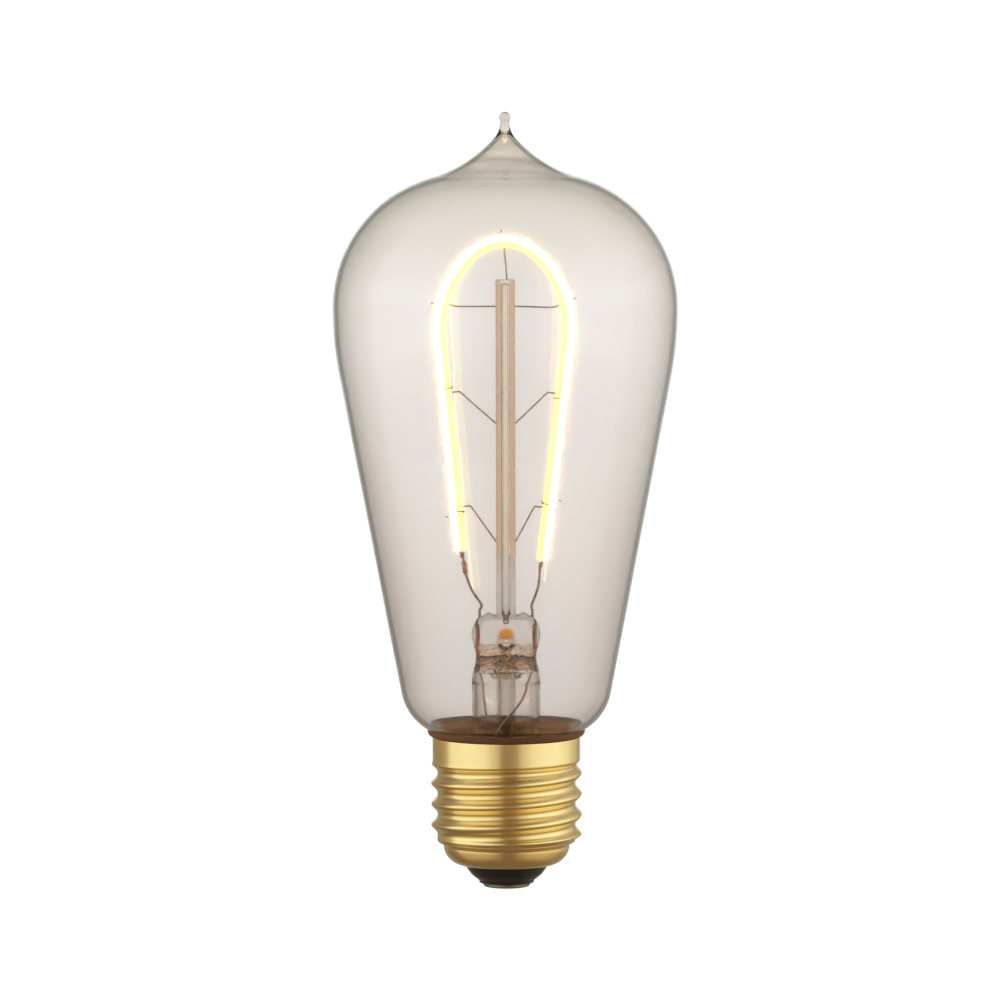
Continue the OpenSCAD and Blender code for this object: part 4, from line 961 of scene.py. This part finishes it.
# Leads: the same bends as in the part's source, run through smoothly. A bend is given in shares of the
# way from start to end, across and up for the upper leads, and across, forward and down for the lower.
lead = {"radius": 0.225, "seal": 0.275, "sealLow": 40.4, "sealLong": 5.6, "gap": 0.02, "weld": 0.395,
        "board": 9.1, "aboveBoard": 2.5, "clear": 1.1, "lastBend": 0.86, "underTab": 2.7, "abovePress": 0.2,
        "aboveRoof": 0.3, "steps": 10,
        "upperBends": np.array([[0.01, 0.02], [-0.1, 0.12], [0.45, 0.36]])}
leadSides = {"left": {"side": -1, "drop": hairpin["left"], "pad": [-8.4, 2.2],
                      "bends": np.array([[-0.18, 0, 0.21], [-0.34, 0, 0.43], [-0.21, -0.2, 0.68]])},
             "right": {"side": 1, "drop": hairpin["right"], "pad": [-7.2, -5.2],
                       "bends": np.array([[0.08, 0.29, 0.14], [0.2, 1, 0.24], [0.53, 1, 0.43], [0.7, 1, 0.69]])}}


# From the seal wire up out of the press, along the bends, and up the inner face of the end tab
def upperPath(side, drop):
    start = np.array([side * stem["wireX"], 0, lead["sealLow"] + lead["sealLong"] + lead["gap"]])
    low = np.array([side * stem["wireX"], 0, stem["pressTop"] + lead["abovePress"]])
    at = sideAt(drop)[0] + legWay * (tab["long"] / 2)
    end = leaned(at * [side, 1]) - [side * lead["weld"], 0, 0]
    bends = low + lead["upperBends"][:, [0, 0, 1]] * [1, 0, 1] * (end - low)
    ends = [[mixed(low[0], end[0], lead["lastBend"]), 0, end[2] - tab["long"] / 2 - lead["underTab"]],
            end - [0, 0, tab["long"] / 2], end + [0, 0, tab["long"] / 4]]
    return np.vstack([start, smoothThrough(np.vstack([low, bends, ends]), lead["steps"])])


# From the seal wire down through the hollow, past the exhaust tube, to the board's pad
def lowerPath(side, bends, pad):
    top = np.array([side * stem["wireX"], 0, hollow["roof"] + lead["aboveRoof"]])
    front = -tube["radius"] - lead["clear"]
    points = np.column_stack([mixed(top[0], pad[0], bends[:, 0]), front * bends[:, 1],
                              mixed(top[2], lead["board"], bends[:, 2])])
    ends = [[*pad, lead["board"] + lead["aboveBoard"]], [*pad, lead["board"] + lead["gap"]]]
    start = [top[0], 0, lead["sealLow"] - lead["gap"]]
    return np.vstack([start, smoothThrough(np.vstack([top, points, ends]), lead["steps"])])


# Straight up through the press
def sealPath(side):
    foot = np.array([side * stem["wireX"], 0, lead["sealLow"]])
    return mixed(foot, foot + [0, 0, lead["sealLong"]], np.linspace(0, 1, 10)[:, None])


for name, row in leadSides.items():
    makePiece(name + "_seal", [wire(sealPath(row["side"]), lead["seal"], depthWay, 20)],
              [name + "_seal_wire"], sealCopper)
    makePiece(name + "_upper_wire", [wire(upperPath(row["side"], row["drop"]), lead["radius"], depthWay, 16)],
              [name + "_upper_lead"], leadMetal)
    makePiece(name + "_lower_wire", [wire(lowerPath(row["side"], row["bends"], row["pad"]), lead["radius"],
                                          depthWay, 16)],
              [name + "_lower_lead"], softLead)

# Weld sleeve: a copper tube with two pinched waists, on the left lead under its tab
sleeve = {"radius": 0.45, "bore": 0.27, "long": 2.0, "pinch": 0.07, "pinchLong": 0.09, "waists": (0.3, 0.7)}


# The radius less two bells along the tube, turned about a line from the lead's last bend to its tab
def sleeveGrid():
    s = sleeve
    path = upperPath(-1, hairpin["left"])
    foot, head = path[-1 - 2 * lead["steps"]], path[-1 - lead["steps"]]
    way = (head - foot) / np.linalg.norm(head - foot)
    t = np.linspace(0, 1, 25)
    first, second = (np.exp(-((t - at) / s["pinchLong"]) ** 2) for at in s["waists"])
    outside = np.column_stack([s["radius"] - s["pinch"] * (first + second), t * s["long"]])
    inside = np.column_stack([np.full(25, s["bore"]), t * s["long"]])[::-1]
    points, faces = turned(np.vstack([outside, inside]), 40)
    other = np.cross(way, depthWay)
    return foot + points[:, 0:1] * depthWay + points[:, 1:2] * other + points[:, 2:3] * way, faces


makePiece("crimp_sleeve", [sleeveGrid()], ["weld_sleeve"], tabCopper, 40)
print("leads made")

# Hooks: fine wires from the rod that turn round the strip, a soft oval in section. Root is below the
# rod's top and drop below the hairpin's, and climb says which way the turns go.
hook = {"radius": 0.14, "wrapOut": 1.26, "wrapSide": 1.46, "climb": 0.9, "reach": 1.2, "tail": 0.8, "tailUp": 0.2,
        "bend": 0.3, "perTurn": 12}
hookRows = {"upper_left": {"side": -1, "root": 4.7, "drop": 10.8, "turns": 0.5, "tail": True, "climb": -1},
            "upper_right": {"side": 1, "root": 4.7, "drop": 10.8, "turns": 0.5, "tail": True, "climb": 1},
            "middle_left": {"side": -1, "root": 25.0, "drop": 26.4, "turns": 1, "tail": False, "climb": 1},
            "middle_right": {"side": 1, "root": 25.0, "drop": 26.4, "turns": 1, "tail": False, "climb": -1},
            "lower_left": {"side": -1, "root": 45.6, "drop": 46.3, "turns": 1.5, "tail": True, "climb": -1},
            "lower_right": {"side": 1, "root": 45.6, "drop": 46.3, "turns": 1.5, "tail": True, "climb": 1}}
topHook = {"foot": 0.3, "over": 0.1, "dip": 0.8, "tip": 0.15}
glare = {"power": 1.3, "low": -0.15, "lowOver": 0.4, "high": 1.42, "highOver": 0.12}


# Turns round the strip: powered cosine outwards and powered sine front to back, climbing evenly
def wrap(centre, out, up, turns):
    steps = int(round(hook["perTurn"] * turns))
    share = np.arange(steps + 1)[:, None] / steps
    a = np.radians(180 - 360 * turns * share)
    c, s = (np.where(np.abs(w) < 1e-9, 0, w) for w in (np.cos(a), np.sin(a)))
    return (centre + out * powered(c, hairpin["power"]) * hook["wrapOut"]
            + depthWay * powered(s, hairpin["power"]) * hook["wrapSide"] + up * hook["climb"] * turns * share)


# Straight from the rod to the strip, then its turns, and for some a tail that stands off
def hookPath(side, root, drop, turns, tail, climb):
    at, angle = sideAt(drop)
    centre = leaned(at * [side, 1])
    out, up = outAndUp(angle, side)
    up = climb * up
    start = np.array([side * rod["radius"], 0, rod["top"] - root])
    meet = centre - out * (hook["wrapOut"] + hook["reach"])
    way = (meet - start) / np.linalg.norm(meet - start)
    loop = wrap(centre, out, up, turns)
    ending = [loop[-1:] + out * hook["tail"] + up * hook["tailUp"]] if tail else []
    points = np.vstack([[start, mixed(start, meet, 0.5), meet - way * hook["bend"], meet + out * hook["bend"]],
                        loop, *ending])
    return points, up, centre, out


# Up from the rod's end, half a turn round the strip from under it to its top, and a short tail up
def topHookPath():
    foot = np.array([topHook["foot"], 0, rod["top"]])
    centre = leaned(np.array([0.0, 0.0])) - [topHook["over"], 0, 0]
    loop = wrap(centre, np.array([0, 0, 1.0]), np.array([-1.0, 0, 0]), 0.5)
    under = centre - [0, 0, hook["wrapOut"]]
    return np.vstack([foot, mixed(foot, under, 0.5), under - [0, 0, topHook["dip"]], loop,
                      loop[-1] + [-topHook["tip"], 0, hook["tail"]]])


# Where a hook crosses the white coat it gets a painted glow for the filament's light that drowns it:
# a soft step up and a soft step down of the distance outwards from the strip's middle
def addGlare(piece, centre, out):
    mesh = piece.data
    points = np.empty(len(mesh.vertices) * 3, np.float32)
    mesh.vertices.foreach_get("co", points)
    u = (points.reshape(-1, 3) * 1000 - centre) @ out
    level = (glare["power"] * ease((u - glare["low"]) / glare["lowOver"])
             * (1 - ease((u - glare["high"]) / glare["highOver"])))
    mesh.attributes.new("glare", "FLOAT", "POINT").data.foreach_set("value", level.astype(np.float32))


for name, row in hookRows.items():
    points, up, centre, out = hookPath(**row)
    support = makePiece(name + "_support", [wire(smoothThrough(points, 6), hook["radius"], up, 12)],
                        [name + "_hook"], hookMetal)
    addGlare(support, centre, out)
topSupport = makePiece("top_support", [wire(smoothThrough(topHookPath(), 6), hook["radius"], [1, 0, 0], 12)],
                       ["top_hook"], hookMetal)
addGlare(topSupport, leaned(np.array([0.0, 0.0])), np.array([0, 0, 1.0]))
print("hooks made")

# Pieces that keep their CAD shape get their own finish
finishes = {"led_chips": chipLook, "driver_board": boardLook, "bridge_rectifier": componentLook,
            "driver_chip": componentLook, "smoothing_capacitor": capacitorLook,
            "fusible_resistor": resistorLook, "live_wire": redWire, "shell_wire": blueWire}
for name, look in finishes.items():
    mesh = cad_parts[name].data
    mesh.materials.clear()
    mesh.materials.append(look)
print("inner parts finished")


# Stage: one pale sweep for floor and backdrop, white to sight and to sight through the bulb, with a
# thin share of plain colour that keeps the lamp's shadow. Gloss and thick glass look past it to the
# tent. Sizes are in millimetres; walls is how many faces of glass still count as thin.
stage = {"white": 0.965, "lift": 0.30, "plain": 0.16, "walls": 4.5, "thick": 0.58, "world": 0.38,
         "floor": -0.1, "front": -4000, "bend": 1500, "height": 4000, "half": 4000}


# Floor, quarter circle and wall as one line, drawn out sideways
def sweepMesh():
    bend = stage["bend"]
    run = np.vstack([[[stage["front"], stage["floor"]]], arc((bend, bend + stage["floor"]), bend, -90, 0, 24),
                     [[2 * bend, stage["height"]]]])
    x = np.linspace(-stage["half"], stage["half"], 9)
    flat, faces = gridOf(np.stack([x[None, :] + 0 * run[:, :1], run[:, :1] + 0 * x, run[:, 1:] + 0 * x], -1),
                         ringCols=False)
    mesh = bpy.data.meshes.new("sweep")
    mesh.from_pydata((flat * 0.001).tolist(), [], faces[:, ::-1].tolist())
    mesh.shade_smooth()
    return mesh


# 1 for a ray of sight, gloss or glass, which all see the background white
def seenShare(nodes, path):
    return nodes.math("MAXIMUM", nodes.math("MAXIMUM", path["Is Camera Ray"], path["Is Glossy Ray"]),
                      path["Is Transmission Ray"])


# What a ray has met: free is 1 for sight and for sight through the bulb's two walls, thick for sight
# through more glass than that, mirrored for gloss and for glass seen after a mirror
def rayShares(look):
    path = look.add("LightPath").outputs
    clean = look.math("LESS_THAN", path["Glossy Depth"], 0.5)
    through = look.math("MULTIPLY", path["Is Transmission Ray"], clean)
    thick = look.math("MULTIPLY", through, look.math("GREATER_THAN", path["Transmission Depth"], stage["walls"]))
    straight = look.math("MAXIMUM", path["Is Camera Ray"], through)
    return (look.math("SUBTRACT", straight, thick), thick,
            look.math("SUBTRACT", seenShare(look, path), straight))


def sweepLook():
    look = Look("pale_sweep")
    free, thick, mirrored = rayShares(look)
    strength = look.ramp(free, stage["lift"], stage["white"], 0.0, 1.0)
    glow = look.add("Emission", {"Color": (1, 1, 1), "Strength": strength}).outputs[0]
    plain = look.add("BsdfDiffuse", {"Color": (stage["plain"],) * 3}).outputs[0]
    both = look.add("AddShader", {0: glow, 1: plain}).outputs[0]
    past = look.add("BsdfTransparent", {"Color": (1, 1, 1)}).outputs[0]
    return look.show(look.add("MixShader", {0: look.math("ADD", thick, mirrored), 1: both, 2: past}).outputs[0])


# A mesh of the set: it is seen as lit, and isn't sampled as a lamp
def setPiece(name, mesh, look):
    piece = bpy.data.objects.new(name, mesh)
    mesh.materials.append(look)
    look.cycles.emission_sampling = "NONE"
    scene.collection.objects.link(piece)
    return piece


sweep = setPiece("sweep", sweepMesh(), sweepLook())

# World: white to sight, gloss and glass, mid grey as light
world = bpy.data.worlds.new("studio")
world.use_nodes = True
scene.world = world
worldNodes = Nodes(world.node_tree)
seen = seenShare(worldNodes, worldNodes.add("LightPath").outputs)
background = world.node_tree.nodes["Background"]
worldNodes.feed(background.inputs["Color"], (1, 1, 1))
worldNodes.feed(background.inputs["Strength"], worldNodes.ramp(seen, stage["world"], 1.0, 0.0, 1.0))


# Tent round the set, seen by gloss and through glass alone: two wide soft lights at the sides, the
# lit backdrop behind the lamp, and dim cloth elsewhere, so that metal and glass keep their contrast.
# Angles run from the camera's side over the right, and each stop is an angle and a brightness. Bands
# and edges are shares of the tent's radius: z up and y away from the camera.
tent = {"radius": 1.3, "centre": 0.07, "cloth": (0.31, 0.29, 0.245), "warm": (0.36, 0.26, 0.20),
        "shade": (0.21, 0.15, 0.11), "gold": (1.0, 0.79, 0.50), "wide": 0.46, "core": 1.22, "strip": 0.4,
        "wideBand": (-0.95, -0.6, 0.7, 0.98), "coreBand": (-0.50, -0.12, 0.45, 0.85),
        "stripBand": (0.04, 0.12, 0.2, 0.32), "back": 0.955, "backSoft": 0.03,
        "ceiling": 0.34, "ceilingUp": (0.35, 0.85), "ceilingBack": (-0.3, 0.2),
        "shadeUp": (0.08, 0.35), "clothBack": (0.55, 0.85),
        "stops": [(-180, 0.0), (-150, 0.0), (-128, 0.02), (-110, 0.12), (-92, 0.85), (-60, 0.92), (-36, 0.80),
                  (-18, 0.42), (-4, 0.0), (13, 0.04), (29, 0.50), (46, 0.85), (63, 1.0), (84, 1.0), (104, 0.75),
                  (128, 0.35), (150, 0.08), (180, 0.0)]}


def tentLook():
    look = Look("soft_tent")
    x, y, z = look.add("SeparateXYZ", {0: look.vector("NORMALIZE", look.place)}).outputs
    turn = look.math("ARCTAN2", x, look.math("MULTIPLY", y, -1.0))
    around = look.add("ValToRGB", {"Fac": look.ramp(turn, 0.0, 1.0, -math.pi, math.pi)})
    around.color_ramp.interpolation = "EASE"
    stops = around.color_ramp.elements
    for angle, level in tent["stops"][1:-1]:
        stops.new((angle + 180) / 360).color = (level, level, level, 1)
    stops[0].color = stops[-1].color = (0, 0, 0, 1)

    # Soft step of a value between two limits
    def soft(value, low, high):
        return look.add("MapRange", {"Value": value, "From Min": low, "From Max": high},
                        interpolation_type="SMOOTHSTEP").outputs[0]

    # The light round the tent, kept to a band of heights
    def band(limits, power):
        low, lowFull, highFull, high = limits
        shape = look.math("MULTIPLY", soft(z, low, lowFull), soft(z, high, highFull))
        return look.math("MULTIPLY", look.math("MULTIPLY", shape, power), around.outputs[0])

    wide = band(tent["wideBand"], tent["wide"])
    bright = look.math("ADD", band(tent["coreBand"], tent["core"]), band(tent["stripBand"], tent["strip"]))
    behind = soft(y, tent["back"] - tent["backSoft"], tent["back"] + tent["backSoft"])
    above = look.math("MULTIPLY", soft(z, *tent["ceilingUp"]), soft(y, *tent["ceilingBack"]))
    above = look.math("MULTIPLY", above, tent["ceiling"])
    free, thick, _ = rayShares(look)
    inGlass = look.math("MAXIMUM", free, look.math("MULTIPLY", thick, stage["thick"]))
    light = look.math("MAXIMUM", look.math("MAXIMUM", bright, behind), look.math("MAXIMUM", above, inGlass))
    near = look.blend(soft(look.math("ABSOLUTE", z), *tent["shadeUp"]), tent["warm"], tent["shade"])
    cloth = look.blend(soft(y, *tent["clothBack"]), near, tent["cloth"])
    cloth = look.blend(wide, cloth, tent["gold"])
    colour = look.blend(light, cloth, (1.0, 1.0, 1.0), clamp_factor=False)
    return look.show(look.add("Emission", {"Color": colour, "Strength": 1.0}).outputs[0])


# A ball: the half circle turned about the axis
def tentMesh():
    profile = arc((0, 0), tent["radius"] * 1000, -90, 90, 48)
    profile[0, 0] = profile[-1, 0] = 0.0
    return meshOf("soft_tent", [turned(profile, 96, ringRows=False)], 0)


cloth = setPiece("soft_tent", tentMesh(), tentLook())
cloth.location = (0, 0, tent["centre"])
cloth.visible_camera = cloth.visible_diffuse = cloth.visible_shadow = cloth.visible_volume_scatter = False


# Lamps: two large soft panels at the sides, each turned to the lamp's middle. Angles run from the
# camera's side over the right.
panels = {"distance": 0.75, "width": 0.42, "tall": 0.55, "power": 4.5, "colour": (1.0, 0.985, 0.96), "aim": 0.075,
          "sides": {"left_panel": (-92, 0.12), "right_panel": (98, 0.08)}}


def addPanel(name, azimuth, height):
    data = bpy.data.lights.new(name, "AREA")
    data.shape = "RECTANGLE"
    data.size, data.size_y = panels["width"], panels["tall"]
    data.energy, data.color = panels["power"], panels["colour"]
    panel = bpy.data.objects.new(name, data)
    a = math.radians(azimuth)
    panel.location = (panels["distance"] * math.sin(a), -panels["distance"] * math.cos(a), height)
    aim = np.array([0, 0, panels["aim"]]) - np.array(panel.location)
    panel.rotation_euler = (math.atan2(math.hypot(aim[0], aim[1]), -aim[2]), 0, math.atan2(-aim[0], aim[1]))
    panel.visible_glossy = panel.visible_transmission = False
    scene.collection.objects.link(panel)


for name, (azimuth, height) in panels["sides"].items():
    addPanel(name, azimuth, height)
print("studio made")
